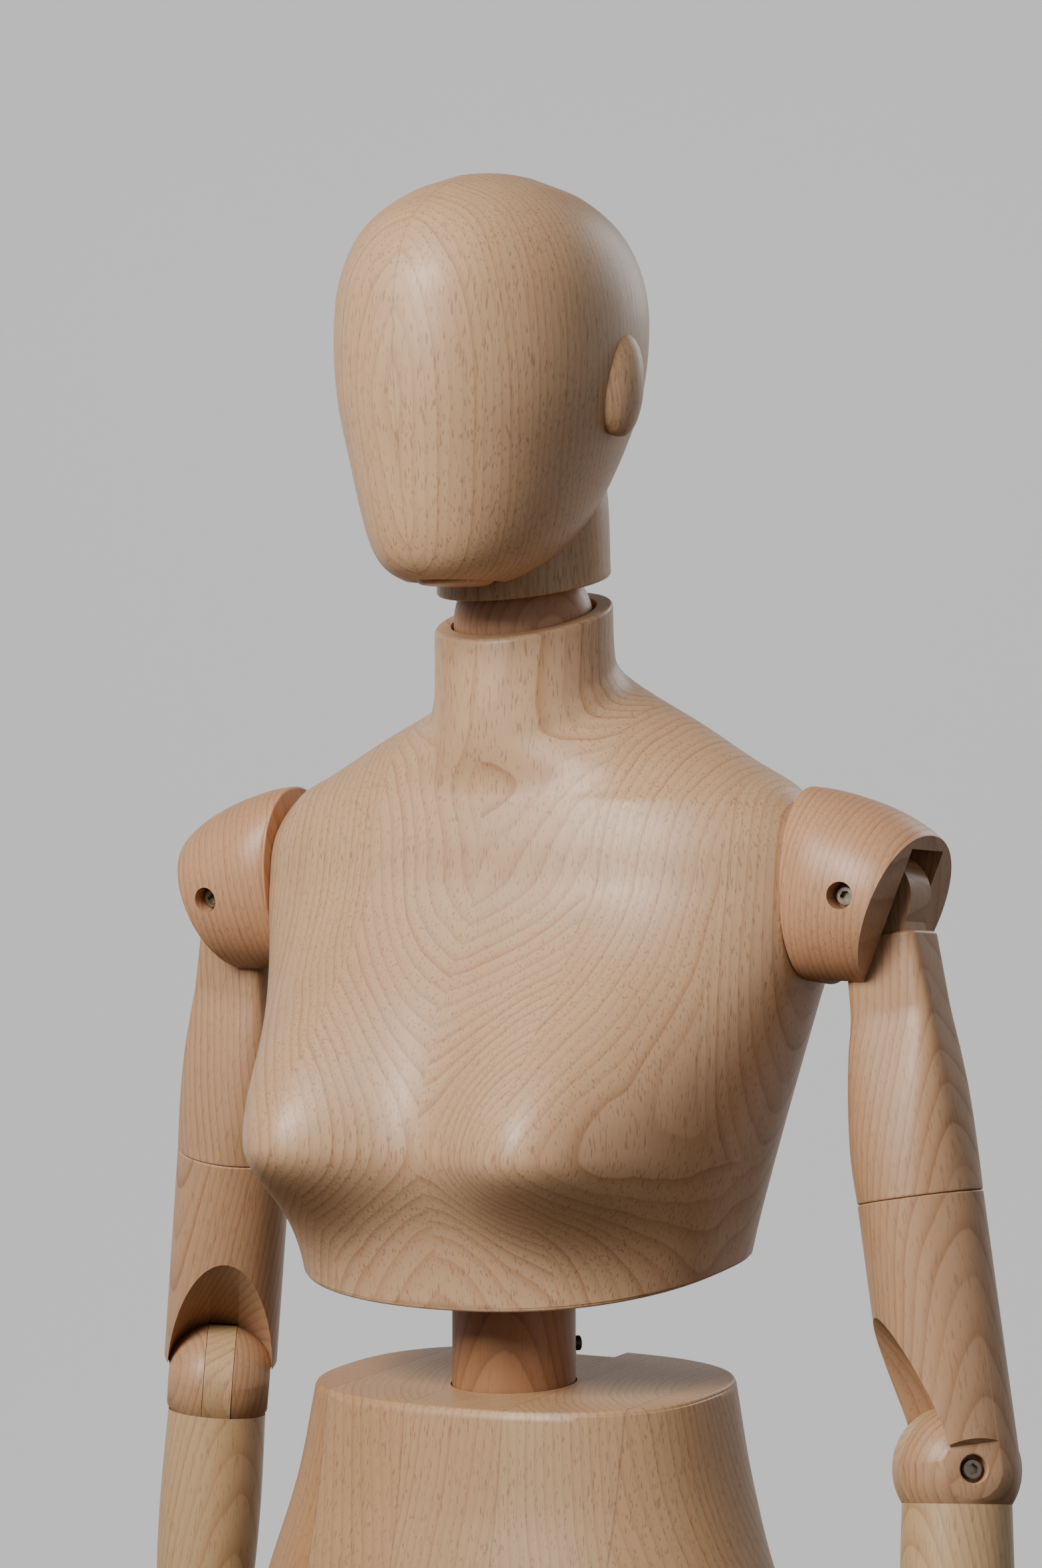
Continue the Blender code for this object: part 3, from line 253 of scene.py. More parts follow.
# ---- Pelvis ----------------------------------------------------------------
# A block glued up from upright beech staves of mixed colour, carved to a smooth
# barrel. Its top slopes down towards the belly, holds the waist post in a bore,
# and is notched at the back so that the clamp for the post can be reached.

def grain_group():
    """Growth layers round a pith line in each board, with flecks, pores and glue lines."""
    tree = bpy.data.node_groups.new("beech_grain", "ShaderNodeTree")
    face = tree.interface
    face.new_socket("Place", in_out="INPUT", socket_type="NodeSocketVector")
    for name, value in (("Board width", 0.06), ("Board offset", 0.0), ("Mirror", 0.0),
                        ("Pith depth", 0.12), ("Pith side", 0.04), ("Pith lean", 0.1),
                        ("Layer width", 0.004),
                        ("Wander", 0.012), ("Seed", 0.0), ("Line strength", 0.5),
                        ("Board contrast", 0.3), ("Flecks", 0.4), ("Glue line", 0.3)):
        face.new_socket(name, in_out="INPUT", socket_type="NodeSocketFloat").default_value = value
    for name, value in (("Early wood", (0.62, 0.42, 0.28, 1)), ("Late wood", (0.42, 0.24, 0.14, 1)),
                        ("Other board", (0.55, 0.36, 0.22, 1))):
        face.new_socket(name, in_out="INPUT", socket_type="NodeSocketColor").default_value = value
    face.new_socket("Colour", in_out="OUTPUT", socket_type="NodeSocketColor")
    face.new_socket("Roughness", in_out="OUTPUT", socket_type="NodeSocketFloat")
    face.new_socket("Height", in_out="OUTPUT", socket_type="NodeSocketFloat")
    start = tree.nodes.new("NodeGroupInput").outputs
    end = tree.nodes.new("NodeGroupOutput").inputs

    def maths(operation, *values):
        return worked(tree, operation, *values)

    def mixed(share, first, second, blend="MIX"):
        made = wired(tree, "ShaderNodeMix", data_type="RGBA", blend_type=blend, clamp_factor=True)
        for socket, value in ((0, share), (6, first), (7, second)):
            if isinstance(value, bpy.types.NodeSocket):
                tree.links.new(value, made.inputs[socket])
            else:
                made.inputs[socket].default_value = value
        return made.outputs[2]

    split = wired(tree, "ShaderNodeSeparateXYZ", start["Place"]).outputs
    folded = maths("MULTIPLY_ADD", maths("SUBTRACT", maths("ABSOLUTE", split[0]), split[0]),
                    start["Mirror"], split[0])
    across = maths("ADD", folded, start["Board offset"])
    board = maths("ROUND", maths("DIVIDE", across, start["Board width"]))
    within = maths("SUBTRACT", across, maths("MULTIPLY", board, start["Board width"]))
    mark = maths("MULTIPLY_ADD", board, 3.17, start["Seed"])
    luck = wired(tree, "ShaderNodeTexWhiteNoise", None, mark, noise_dimensions="1D")
    chances = wired(tree, "ShaderNodeSeparateColor", luck.outputs["Color"]).outputs

    stretched = wired(tree, "ShaderNodeVectorMath", start["Place"], (1.0, 1.0, 0.34),
                      operation="MULTIPLY").outputs[0]
    shifted = wired(tree, "ShaderNodeVectorMath", stretched, None, operation="ADD")
    tree.links.new(wired(tree, "ShaderNodeCombineXYZ", mark, mark, mark).outputs[0], shifted.inputs[1])
    warp = wired(tree, "ShaderNodeTexNoise", shifted.outputs[0], None, 9.0, 2.5, 0.45).outputs[0]
    ripple = wired(tree, "ShaderNodeTexNoise", shifted.outputs[0], None, 60.0, 2.0, 0.5).outputs[0]

    lean = maths("MULTIPLY", split[2], start["Pith lean"])
    pith_x = maths("MULTIPLY", start["Pith side"], maths("MULTIPLY_ADD", chances[0], 2.0, -1.0))
    pith_y = maths("MULTIPLY", start["Pith depth"], maths("MULTIPLY_ADD", chances[1], 0.5, 0.75))
    dx = maths("SUBTRACT", maths("ADD", within, maths("MULTIPLY", lean, 0.4)), pith_x)
    dy = maths("SUBTRACT", maths("ADD", split[1], lean), pith_y)
    far = maths("SQRT", maths("MULTIPLY_ADD", dx, dx, maths("MULTIPLY", dy, dy)))
    sway = maths("MULTIPLY", start["Wander"], 2.0)
    far = maths("MULTIPLY_ADD", maths("SUBTRACT", warp, 0.5), sway, far)
    far = maths("MULTIPLY_ADD", ripple, 0.0012, far)
    layer = maths("DIVIDE", far, start["Layer width"])
    season = maths("FRACT", layer)
    late = maths("POWER", season, 3.0)
    late = maths("MULTIPLY", late, maths("SUBTRACT", 1.0, wired(
        tree, "ShaderNodeMapRange", season, 0.93, 1.0, 0.0, 1.0).outputs[0]))
    year = wired(tree, "ShaderNodeTexWhiteNoise", None, maths("FLOOR", layer),
                 noise_dimensions="1D").outputs[0]
    late = maths("MULTIPLY", late, maths("MULTIPLY_ADD", year, 0.8, 0.5))
    late = maths("MULTIPLY", late, start["Line strength"])

    fine = wired(tree, "ShaderNodeVectorMath", start["Place"], (950.0, 950.0, 130.0),
                 operation="MULTIPLY").outputs[0]
    fleck = wired(tree, "ShaderNodeTexNoise", fine, None, 1.0, 1.0, 0.5).outputs[0]
    fleck = wired(tree, "ShaderNodeMapRange", fleck, 0.59, 0.68, 0.0, 1.0).outputs[0]
    fibre = wired(tree, "ShaderNodeVectorMath", start["Place"], (520.0, 520.0, 22.0),
                  operation="MULTIPLY").outputs[0]
    fibre = wired(tree, "ShaderNodeTexNoise", fibre, None, 1.0, 3.0, 0.6).outputs[0]
    cloud = wired(tree, "ShaderNodeTexNoise", stretched, None, 26.0, 3.0, 0.55).outputs[0]

    other = maths("MULTIPLY", chances[2], start["Board contrast"])
    wood = mixed(other, start["Early wood"], start["Other board"])
    wood = mixed(maths("MULTIPLY_ADD", cloud, 0.9, -0.32), wood, mixed(0.45, wood, start["Late wood"]))
    wood = mixed(late, wood, start["Late wood"])
    wood = mixed(maths("MULTIPLY_ADD", fibre, 0.34, -0.10), wood, mixed(0.5, wood, start["Late wood"]))
    wood = mixed(maths("MULTIPLY", fleck, start["Flecks"]), wood, mixed(0.6, wood, (0.16, 0.07, 0.035, 1)))
    edge = maths("SUBTRACT", maths("MULTIPLY", start["Board width"], 0.5), maths("ABSOLUTE", within))
    glue = wired(tree, "ShaderNodeMapRange", edge, 0.0, 0.0007, 1.0, 0.0).outputs[0]
    glue = maths("MULTIPLY", glue, start["Glue line"])
    wood = mixed(glue, wood, (0.15, 0.075, 0.04, 1))
    tree.links.new(wood, end["Colour"])
    rough = maths("MULTIPLY_ADD", fibre, 0.16, 0.36)
    tree.links.new(maths("MULTIPLY_ADD", late, 0.06, rough), end["Roughness"])
    height = maths("SUBTRACT", maths("MULTIPLY", fibre, 0.6), maths("MULTIPLY", fleck, 0.5))
    tree.links.new(maths("SUBTRACT", height, maths("MULTIPLY", glue, 0.8)), end["Height"])
    return tree


GRAIN = grain_group()


def beech(name, place=Matrix(), turn=(0, 0, 0), **grain):
    """Oiled beech whose boards stand along the piece's own Z, faces towards its Y."""
    made = bpy.data.materials.new(name)
    made.use_nodes = True
    tree = made.node_tree
    shader = tree.nodes["Principled BSDF"]
    frame_of_piece = place @ Matrix.Rotation(math.radians(turn[2]), 4, "Z") \
        @ Matrix.Rotation(math.radians(turn[1]), 4, "Y") @ Matrix.Rotation(math.radians(turn[0]), 4, "X")
    where = wired(tree, "ShaderNodeTexCoord").outputs["Object"]
    local = wired(tree, "ShaderNodeMapping", where, tuple(frame_of_piece.translation),
                  tuple(frame_of_piece.to_euler()), vector_type="TEXTURE").outputs[0]
    figure = wired(tree, "ShaderNodeGroup", node_tree=GRAIN)
    tree.links.new(local, figure.inputs["Place"])
    for socket, value in grain.items():
        figure.inputs[socket.replace("_", " ").capitalize()].default_value = value
    tree.links.new(figure.outputs["Colour"], shader.inputs["Base Color"])
    tree.links.new(figure.outputs["Roughness"], shader.inputs["Roughness"])
    raised = wired(tree, "ShaderNodeBump", 0.35, 0.00012)
    tree.links.new(figure.outputs["Height"], raised.inputs["Height"])
    tree.links.new(raised.outputs[0], shader.inputs["Normal"])
    shader.inputs["Coat Weight"].default_value = 0.06
    shader.inputs["Coat Roughness"].default_value = 0.3
    return made


def between(rows, share):
    """The row at a share of the way through a table, on a smooth curve through all rows."""
    rows = [Vector(row) for row in rows]
    shares = [row[0] for row in rows]
    forward = shares[-1] > shares[0]
    i = 0
    while i < len(rows) - 2 and (shares[i + 1] < share) == forward and shares[i + 1] != share:
        i += 1
    t = (share - shares[i]) / (shares[i + 1] - shares[i])
    before = rows[i - 1] if i > 0 else rows[0] * 2 - rows[1]
    after = rows[i + 2] if i + 2 < len(rows) else rows[-1] * 2 - rows[-2]
    low = (rows[i + 1] - before) * ((shares[i + 1] - shares[i]) / (shares[i + 1] - before[0]))
    high = (after - rows[i]) * ((shares[i + 1] - shares[i]) / (after[0] - shares[i]))
    return (rows[i] * (2 * t ** 3 - 3 * t ** 2 + 1) + low * (t ** 3 - 2 * t ** 2 + t)
            + rows[i + 1] * (3 * t ** 2 - 2 * t ** 3) + high * (t ** 3 - t ** 2))


def oval(half_x, half_y, z, centre=(0, 0), power=2.0, slope=0.0, sides=128):
    ring = []
    for i in range(sides):
        angle = 2 * math.pi * i / sides
        c, s = math.cos(angle), math.sin(angle)
        x = half_x * math.copysign(abs(c) ** (2 / power), c)
        y = half_y * math.copysign(abs(s) ** (2 / power), s)
        ring.append(Vector((centre[0] + x, centre[1] + y, z + slope * y)))
    return ring


def eased(rings, radius, ends=(True, True), steps=5):
    """The rings with a sanded round at each chosen end, from its rim inwards."""
    rings = list(rings)
    for chosen, at, inner in ((ends[0], 0, 1), (ends[1], -1, -2)):
        if not chosen:
            continue
        rim, near = rings[at], rings[inner]
        middle = sum(rim, Vector()) / len(rim)
        inwards = (sum(near, Vector()) / len(near) - middle).normalized() * radius
        across = sum((point - middle).length for point in rim) / len(rim)
        extra = []
        for i in range(steps + 1):
            angle = math.pi / 2 * i / steps
            scale = 1 - radius / across * (1 - math.cos(angle))
            extra.append([middle + (point - middle) * scale + inwards * (1 - math.sin(angle))
                          for point in rim])
        for share in (0.66, 0.33):
            extra.append([middle + (point - middle) * share * scale for point in rim])
        if at == 0:
            rings = extra[::-1] + rings[1:]
        else:
            rings = rings[:-1] + extra
    return rings


def skinned(name, rings, place=Matrix()):
    """A closed piece over rings of points; a ring of one point is a pole."""
    drawing = bmesh.new()
    rows = [[drawing.verts.new(place @ point) for point in ring] for ring in rings]
    for low, high in zip(rows, rows[1:]):
        for i in range(max(len(low), len(high))):
            corners = [low[i % len(low)], low[(i + 1) % len(low)],
                       high[(i + 1) % len(high)], high[i % len(high)]]
            drawing.faces.new(list(dict.fromkeys(corners)))
    for row in (rows[0], rows[-1]):
        if len(row) > 2:
            middle = drawing.verts.new(sum((v.co for v in row), Vector()) / len(row))
            for i in range(len(row)):
                drawing.faces.new((row[i], row[(i + 1) % len(row)], middle))
    bmesh.ops.recalc_face_normals(drawing, faces=drawing.faces)
    mesh = bpy.data.meshes.new(name)
    drawing.to_mesh(mesh)
    drawing.free()
    thing = bpy.data.objects.new(name, mesh)
    bpy.context.scene.collection.objects.link(thing)
    return thing


def peg(radius, low, high, place=Matrix(), sides=64):
    """A round tool or pin along its own Z."""
    return skinned("tool", [oval(radius, radius, z, sides=sides) for z in (low, high)], place)


def lathed(profile, place=Matrix(), sides=96):
    """A turned tool from (radius, height) pairs."""
    return skinned("tool", [[Vector((0, 0, z))] if radius == 0 else oval(radius, radius, z, sides=sides)
                            for radius, z in profile], place)


def block(low, high, place=Matrix()):
    return skinned("tool", [[Vector((x, y, z)) for x, y in ((low[0], low[1]), (high[0], low[1]),
                             (high[0], high[1]), (low[0], high[1]))] for z in (low[2], high[2])], place)


def worked_with(thing, *tools):
    """Cuts, joins or trims a piece with (operation, tool) pairs, then throws the tools away."""
    for operation, tool in tools:
        step = thing.modifiers.new(operation, "BOOLEAN")
        step.operation = operation
        step.solver = "MANIFOLD"
        step.object = tool
    baked(thing)
    for _, tool in tools:
        bpy.data.objects.remove(tool)
    return thing


def finished(thing, finish, body, nodes):
    thing.data.materials.clear()
    thing.data.materials.append(finish)
    tidy(thing.data)
    fitted(thing, body, nodes)


def along_x(place):
    return place @ Matrix.Rotation(math.pi / 2, 4, "Y")


def along_y(place):
    return place @ Matrix.Rotation(-math.pi / 2, 4, "X")


# Share of the height, half width, half depth, centre Y, squareness
PELVIS_SHAPE = [(0.00, 0.128, 0.080, 0.004, 2.6), (0.05, 0.156, 0.101, 0.006, 2.5),
                (0.13, 0.171, 0.113, 0.008, 2.4), (0.25, 0.173, 0.115, 0.008, 2.4),
                (0.42, 0.163, 0.108, 0.006, 2.3), (0.60, 0.142, 0.096, -0.006, 2.3),
                (0.80, 0.124, 0.088, -0.004, 2.4), (1.00, 0.1125, 0.0825, -0.003, 2.5)]
PELVIS_HEIGHT = 0.262
joints = {joint["name"]: joint for joint in frame["joints"]}
waist_at = Vector(joints["waist_turn"]["pos_m"])
pelvis_z = waist_at.z - PELVIS_HEIGHT
PELVIS_FRAME = Matrix.Translation((0, 0, pelvis_z))
POST_RADIUS = 0.0325
POST_IN_PELVIS = 0.065
NOTCH_WIDTH = 0.033
NOTCH_HEIGHT = 0.060
NOTCH_BACK = 0.0635     # floor of the notch behind the centre
CLAMP_RISE = 0.055      # pelvis underside to the clamp screw
CLAMP_SEAT = 0.104
CLAMP_SINK = 0.012
HIP_SPREAD = 0.088
HIP_PIN_RADIUS = 0.014
pelvis_rings = []
for i in range(97):
    share, half_x, half_y, centre, power = between(PELVIS_SHAPE, i / 96)
    pelvis_rings.append(oval(half_x, half_y, PELVIS_HEIGHT * share, (0, centre), power,
                             0.065 * share ** 4, 160))
pelvis = skinned("pelvis_carved", eased(pelvis_rings, 0.0022), PELVIS_FRAME)
tools = [("DIFFERENCE", block((-NOTCH_WIDTH / 2, NOTCH_BACK, PELVIS_HEIGHT - NOTCH_HEIGHT),
                              (NOTCH_WIDTH / 2, 0.2, PELVIS_HEIGHT + 0.1), PELVIS_FRAME)),
         ("DIFFERENCE", peg(POST_RADIUS + 0.0008, -POST_IN_PELVIS, 0.1, Matrix.Translation(waist_at))),
         ("DIFFERENCE", lathed([(0.0293, -0.1), (0.0293, 0.006), (rod_radius + 0.0063, 0.006),
                                (rod_radius + 0.0063, 0.116)], PELVIS_FRAME)),
         ("DIFFERENCE", peg(CLAMP_SINK, CLAMP_SEAT, 0.2,
                            along_y(Matrix.Translation((0, 0, pelvis_z + CLAMP_RISE)))))]
for side in (1, -1):
    tools.append(("DIFFERENCE", peg(HIP_PIN_RADIUS + BORE_PLAY, -0.01, 0.052,
                                    Matrix.Translation((side * HIP_SPREAD, 0, pelvis_z)))))
worked_with(pelvis, *tools)
PELVIS_BEECH = beech("pelvis_beech", PELVIS_FRAME, Board_width=0.058, Board_offset=-0.006, Pith_depth=0.02,
                     Pith_side=0.24, Pith_lean=-0.04, Layer_width=0.0042, Wander=0.010, Seed=4.0,
                     Line_strength=0.55, Board_contrast=1.0, Flecks=0.7, Glue_line=0.45,
                     Early_wood=(0.54, 0.36, 0.205, 1), Late_wood=(0.30, 0.13, 0.05, 1),
                     Other_board=(0.47, 0.235, 0.095, 1))
finished(pelvis, PELVIS_BEECH, "stand_and_pelvis", ["pelvis"])


# ---- Hip knuckles, thighs, shins and feet -----------------------------------
# Each leg is turned and carved from solid beech. Slotted balls at the hip and
# knee take the tongue of the limb below, with a bolt across the cheeks.

def frame_at(joint, x_from=None, x_sign=1, z=None):
    """The piece's own frame at a joint: X along a joint's hinge, Z along the limb."""
    z = Vector((0, 0, 1)) if z is None else Vector(z).normalized()
    x = Vector(joints[x_from or joint]["axis"]) * x_sign
    x = (x - z * x.dot(z)).normalized()
    y = z.cross(x)
    turn = Matrix((x, y, z)).transposed().to_4x4()
    return Matrix.Translation(joints[joint]["pos_m"]) @ turn


SLIDE = 0.0005          # round a piece that turns or slides


class Knuckle:
    """The sizes of one slotted ball joint and of its bolt."""

    def __init__(self, ball, cheek, slot, bolt, limb, tongue=None):
        self.ball = ball                # radius of the ball
        self.cheek = cheek              # centre to the flat that the bolt enters
        self.slot = slot                # width of the slot
        self.bolt = bolt                # radius of the shank
        self.limb = limb                # radius of the limb that rides on the ball
        self.tongue = tongue or ball - SLIDE
        self.sink = bolt * 7 / 3        # radius of the counterbore
        self.depth = bolt * 2.6         # depth of the counterbore


HIP = Knuckle(0.0520, 0.0460, 0.0246, 0.005, 0.0460, 0.0340)
KNEE = Knuckle(0.0480, 0.0430, 0.0226, 0.005, 0.0420)
ANKLE = Knuckle(0.0330, 0.0290, 0.0166, 0.004, 0.0270)


def knuckle_tools(knuckle, centre, open_slot=None, flats_to=0.5):
    """The saws, drills and flats that make a ball end into a knuckle."""
    half = knuckle.slot / 2
    reach = knuckle.tongue + 0.0010
    wide = 0.5
    tools = [("DIFFERENCE", peg(reach, -half, half, along_x(centre), 96)),
             ("DIFFERENCE", peg(knuckle.bolt + BORE_PLAY, -wide, wide, along_x(centre), 32))]
    for way in (1, -1):
        flank = sorted((way * knuckle.cheek, way * wide))
        tools.append(("DIFFERENCE", skinned("tool", [
            [Vector((x + way * (z - flats_to) * (1.2 if abs(x) < wide and z > flats_to else 0), y, z))
             for x, y in ((flank[0], -wide), (flank[1], -wide), (flank[1], wide), (flank[0], wide))]
            for z in (-wide, flats_to, flats_to + 0.012)], centre)))
        ends = sorted((way * (knuckle.cheek - knuckle.depth), way * wide))
        tools.append(("DIFFERENCE", peg(knuckle.sink, *ends, along_x(centre), 48)))
        lip = way * knuckle.cheek
        ends = [(knuckle.sink, lip - way * 0.0006), (knuckle.sink + 0.0012, lip + way * 0.0006)]
        tools.append(("DIFFERENCE", lathed(ends if way > 0 else ends[::-1], along_x(centre), 48)))
    if open_slot is not None:
        tools.append(("DIFFERENCE", block((-half, -wide, -wide), (half, wide, open_slot), centre)))
    return tools


def ball_rows(radius, start, end, steps, centre=0.0):
    rows = []
    for i in range(steps + 1):
        angle = math.radians(start + (end - start) * i / steps)
        across = radius * math.sin(angle)
        rows.append((0 if across < 1e-6 else across, centre + radius * math.cos(angle)))
    return rows


def tongue_tools(knuckle, place):
    """The cup that rides on the ball, then the tongue that fills the slot."""
    half = knuckle.slot / 2 - FIT
    root = 0.6 * knuckle.tongue
    return [("DIFFERENCE", lathed(ball_rows(knuckle.ball + SLIDE, 0, 180, 48), place, 96)),
            ("UNION", block((-half, -root, -1.3 * knuckle.ball),
                            (half, root, -0.3 * knuckle.tongue), place)),
            ("UNION", peg(knuckle.tongue, -half, half, along_x(place), 96)),
            ("DIFFERENCE", peg(knuckle.bolt + BORE_PLAY, -0.5, 0.5, along_x(place), 32))]


def limb_top(knuckle):
    return 0.8 * math.sqrt(knuckle.ball ** 2 - knuckle.limb ** 2)


TROUGH_PLAY = 0.0020    # round the folded limb in its hollow


def trough(knuckle, place, way, tilt):
    """The hollow that the folded limb lies in; the ball itself stays whole."""
    turn = Matrix.Rotation(-way * math.radians(tilt), 4, "X")
    tool = peg(knuckle.limb + TROUGH_PLAY, 0, 0.5, place @ turn, 96)
    whole = lathed(ball_rows(knuckle.ball + SLIDE, 0, 180, 48), place, 96)
    return worked_with(tool, ("DIFFERENCE", whole))


# Share of the length, half width, half depth
THIGH_SHAPE = [(0.000, 0.046, 0.046), (0.090, 0.063, 0.066), (0.230, 0.0735, 0.0775), (0.450, 0.070, 0.075),
               (0.700, 0.058, 0.062), (0.880, 0.0495, 0.0510), (1.000, 0.0480, 0.0480)]
SHIN_SHAPE = [(0.000, 0.042, 0.042), (0.120, 0.0460, 0.0480), (0.300, 0.0480, 0.0520),
              (0.520, 0.0440, 0.0470), (0.780, 0.0345, 0.0360), (1.000, 0.0330, 0.0330)]
# Share of the length from the heel, half width, top above the sole, offset inwards
FOOT_SHAPE = [(0.00, 0.014, 0.030, 0.000), (0.06, 0.027, 0.045, 0.000), (0.18, 0.0310, 0.060, 0.000),
              (0.34, 0.0315, 0.062, 0.000), (0.50, 0.0340, 0.050, 0.001), (0.68, 0.0425, 0.038, 0.003),
              (0.84, 0.0420, 0.027, 0.005), (0.95, 0.0320, 0.020, 0.008), (1.00, 0.0160, 0.013, 0.010)]
FOOT_LENGTH = 0.236
HEEL_REACH = 0.062
ANKLE_RISE = 0.078
LIMB_WOOD = dict(Board_width=0.9, Board_offset=0.0, Pith_depth=0.10, Pith_lean=0.16, Layer_width=0.0040,
                 Wander=0.011, Line_strength=0.75, Board_contrast=0.2, Flecks=0.5)
TAN = dict(Early_wood=(0.52, 0.305, 0.17, 1), Late_wood=(0.29, 0.13, 0.055, 1),
           Other_board=(0.47, 0.27, 0.14, 1))
PALE = dict(Early_wood=(0.57, 0.38, 0.20, 1), Late_wood=(0.36, 0.19, 0.08, 1),
            Other_board=(0.53, 0.34, 0.17, 1))
REDDISH = dict(Early_wood=(0.52, 0.28, 0.15, 1), Late_wood=(0.32, 0.13, 0.06, 1),
               Other_board=(0.48, 0.25, 0.13, 1))

for side, tail, seed in ((1, "_left", 11.0), (-1, "_right", 17.0)):
    hip_place = frame_at("hip_turn" + tail, "hip_swing" + tail, -1)
    hip_centre = frame_at("hip_swing" + tail, x_sign=-1)
    drop = hip_place.translation.z - hip_centre.translation.z
    flat = math.degrees(math.acos((drop - FIT) / HIP.ball))
    rows = [(0, 0.050), (HIP_PIN_RADIUS - 0.0015, 0.050), (HIP_PIN_RADIUS, 0.0485), (HIP_PIN_RADIUS, -FIT)]
    rows += ball_rows(HIP.ball, flat, 180, 48, -drop)
    hip = on_lathe("hip_knuckle_turned" + tail, rows, BLACKENED, hip_place)
    worked_with(hip, *knuckle_tools(HIP, hip_centre, 0.012))
    finished(hip, beech("hip_beech" + tail, hip_centre, (0, 0, 90), Seed=seed, **LIMB_WOOD | REDDISH),
             "hip" + tail, ["hip_knuckle" + tail])

    knee_centre = frame_at("knee_bend" + tail)
    thigh_length = hip_centre.translation.z - knee_centre.translation.z
    top = limb_top(HIP)
    rings = []
    for i in range(97):
        share, half_x, half_y = between(THIGH_SHAPE, i / 96)
        rings.append(oval(half_x, half_y, -top - (thigh_length - top) * share, sides=96))
    rings += [oval(r, r, z - thigh_length, sides=96) for r, z in ball_rows(KNEE.ball, 90, 180, 32)[1:-1]]
    rings.append([Vector((0, 0, -KNEE.ball - thigh_length))])
    thigh = skinned("thigh_carved" + tail, rings, hip_centre)
    worked_with(thigh, *tongue_tools(HIP, hip_centre), ("DIFFERENCE", trough(KNEE, knee_centre, 1, 46.0)),
                *knuckle_tools(KNEE, knee_centre, flats_to=0.030))
    finished(thigh, beech("thigh_beech" + tail, hip_centre, Seed=seed + 1, **LIMB_WOOD | TAN),
             "thigh" + tail, ["thigh" + tail])

    ankle_centre = frame_at("ankle_bend" + tail, x_sign=-1)
    shin_length = knee_centre.translation.z - ankle_centre.translation.z
    top = limb_top(KNEE)
    rings = []
    for i in range(81):
        share, half_x, half_y = between(SHIN_SHAPE, i / 80)
        rings.append(oval(half_x, half_y, -top - (shin_length - top) * share, sides=96))
    rings += [oval(r, r, z - shin_length, sides=96) for r, z in ball_rows(ANKLE.ball, 90, 180, 32)[1:-1]]
    rings.append([Vector((0, 0, -ANKLE.ball - shin_length))])
    shin = skinned("shin_carved" + tail, rings, knee_centre)
    worked_with(shin, *tongue_tools(KNEE, knee_centre), *knuckle_tools(ANKLE, ankle_centre, flats_to=0.010))
    finished(shin, beech("shin_beech" + tail, knee_centre, Seed=seed + 2, **LIMB_WOOD | PALE),
             "shin" + tail, ["shin" + tail])

    rings = []
    for i in range(73):
        share, half_x, high, inwards = between(FOOT_SHAPE, (1 - math.cos(math.pi * i / 72)) / 2)
        y = HEEL_REACH - share * FOOT_LENGTH
        rings.append([Vector((p.x - side * inwards, y, p.y + high / 2 - ANKLE_RISE))
                      for p in oval(half_x, high / 2, 0, power=2.6, sides=96)])
    foot = skinned("foot_carved" + tail, eased(rings, 0.005), ankle_centre)
    worked_with(foot, *tongue_tools(ANKLE, ankle_centre))
    finished(foot, beech("foot_beech" + tail, ankle_centre, (90, 0, 0), Seed=seed + 3, **LIMB_WOOD | TAN),
             "foot" + tail, ["foot" + tail])


# ---- Waist post and its lock screw -------------------------------------------
# A turned post of darker beech stands in the pelvis and carries the torso on a
# cross pin. A grub screw near its foot locks the turn.

post_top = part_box("waist_post")[1][2]
post_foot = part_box("waist_post")[0][2]
WAIST_FRAME = Matrix.Translation(waist_at)
POST_BEECH = beech("waist_post_beech", WAIST_FRAME, (0, 0, 25), Seed=31.0, **LIMB_WOOD | dict(
    Early_wood=(0.36, 0.175, 0.08, 1), Late_wood=(0.19, 0.075, 0.03, 1),
    Other_board=(0.33, 0.155, 0.07, 1)))
POST_CROWN = 0.011      # height of the coned end
foot_z = post_foot - waist_at.z
top_z = post_top - waist_at.z
post = on_lathe("waist_post_turned", rounded([
    (0, foot_z), (POST_RADIUS, foot_z), (POST_RADIUS, top_z - POST_CROWN),
    (POST_RADIUS * 0.7, top_z), (0, top_z)], 0.002), POST_BEECH, WAIST_FRAME)
pin_at = Vector(joints["waist_bend"]["pos_m"])
PIN_BORE = 0.0065
LOCK_RISE = 0.018       # pelvis top to the lock screw
LOCK_ANGLE = 50.0       # degrees round from the side
LOCK_RADIUS = 0.004
LOCK_DEPTH = 0.014
LOCK_PLACE = WAIST_FRAME @ Matrix.Translation((0, 0, LOCK_RISE)) \
    @ Matrix.Rotation(math.radians(LOCK_ANGLE), 4, "Z") @ Matrix.Rotation(math.pi / 2, 4, "Y")
worked_with(post, ("DIFFERENCE", peg(PIN_BORE, -1, 1, along_x(Matrix.Translation(pin_at)), 32)),
            ("DIFFERENCE", peg(LOCK_RADIUS + BORE_PLAY, POST_RADIUS - LOCK_DEPTH, 1, LOCK_PLACE, 32)))
finished(post, POST_BEECH, "waist", ["waist_post"])
lock_end = POST_RADIUS - LOCK_DEPTH + FIT
lock = on_lathe("waist_lock_screw_turned", rounded([
    (0, lock_end), (LOCK_RADIUS, lock_end), (LOCK_RADIUS, POST_RADIUS + 0.0042),
    (0.0023, POST_RADIUS + 0.0042), (0.0019, POST_RADIUS + 0.0026), (0, POST_RADIUS + 0.0026)], 0.0004),
    BLACKENED, LOCK_PLACE, sides=32)
fitted(lock, "waist", ["waist_lock_screw"])


# ---- Torso -------------------------------------------------------------------
# Carved from upright beech boards glued edge to edge, so the growth lines swerve
# round the breasts. Flat faces take the shoulders, a socket takes the neck ball, and a
# mortise underneath gives the waist post room to rock.

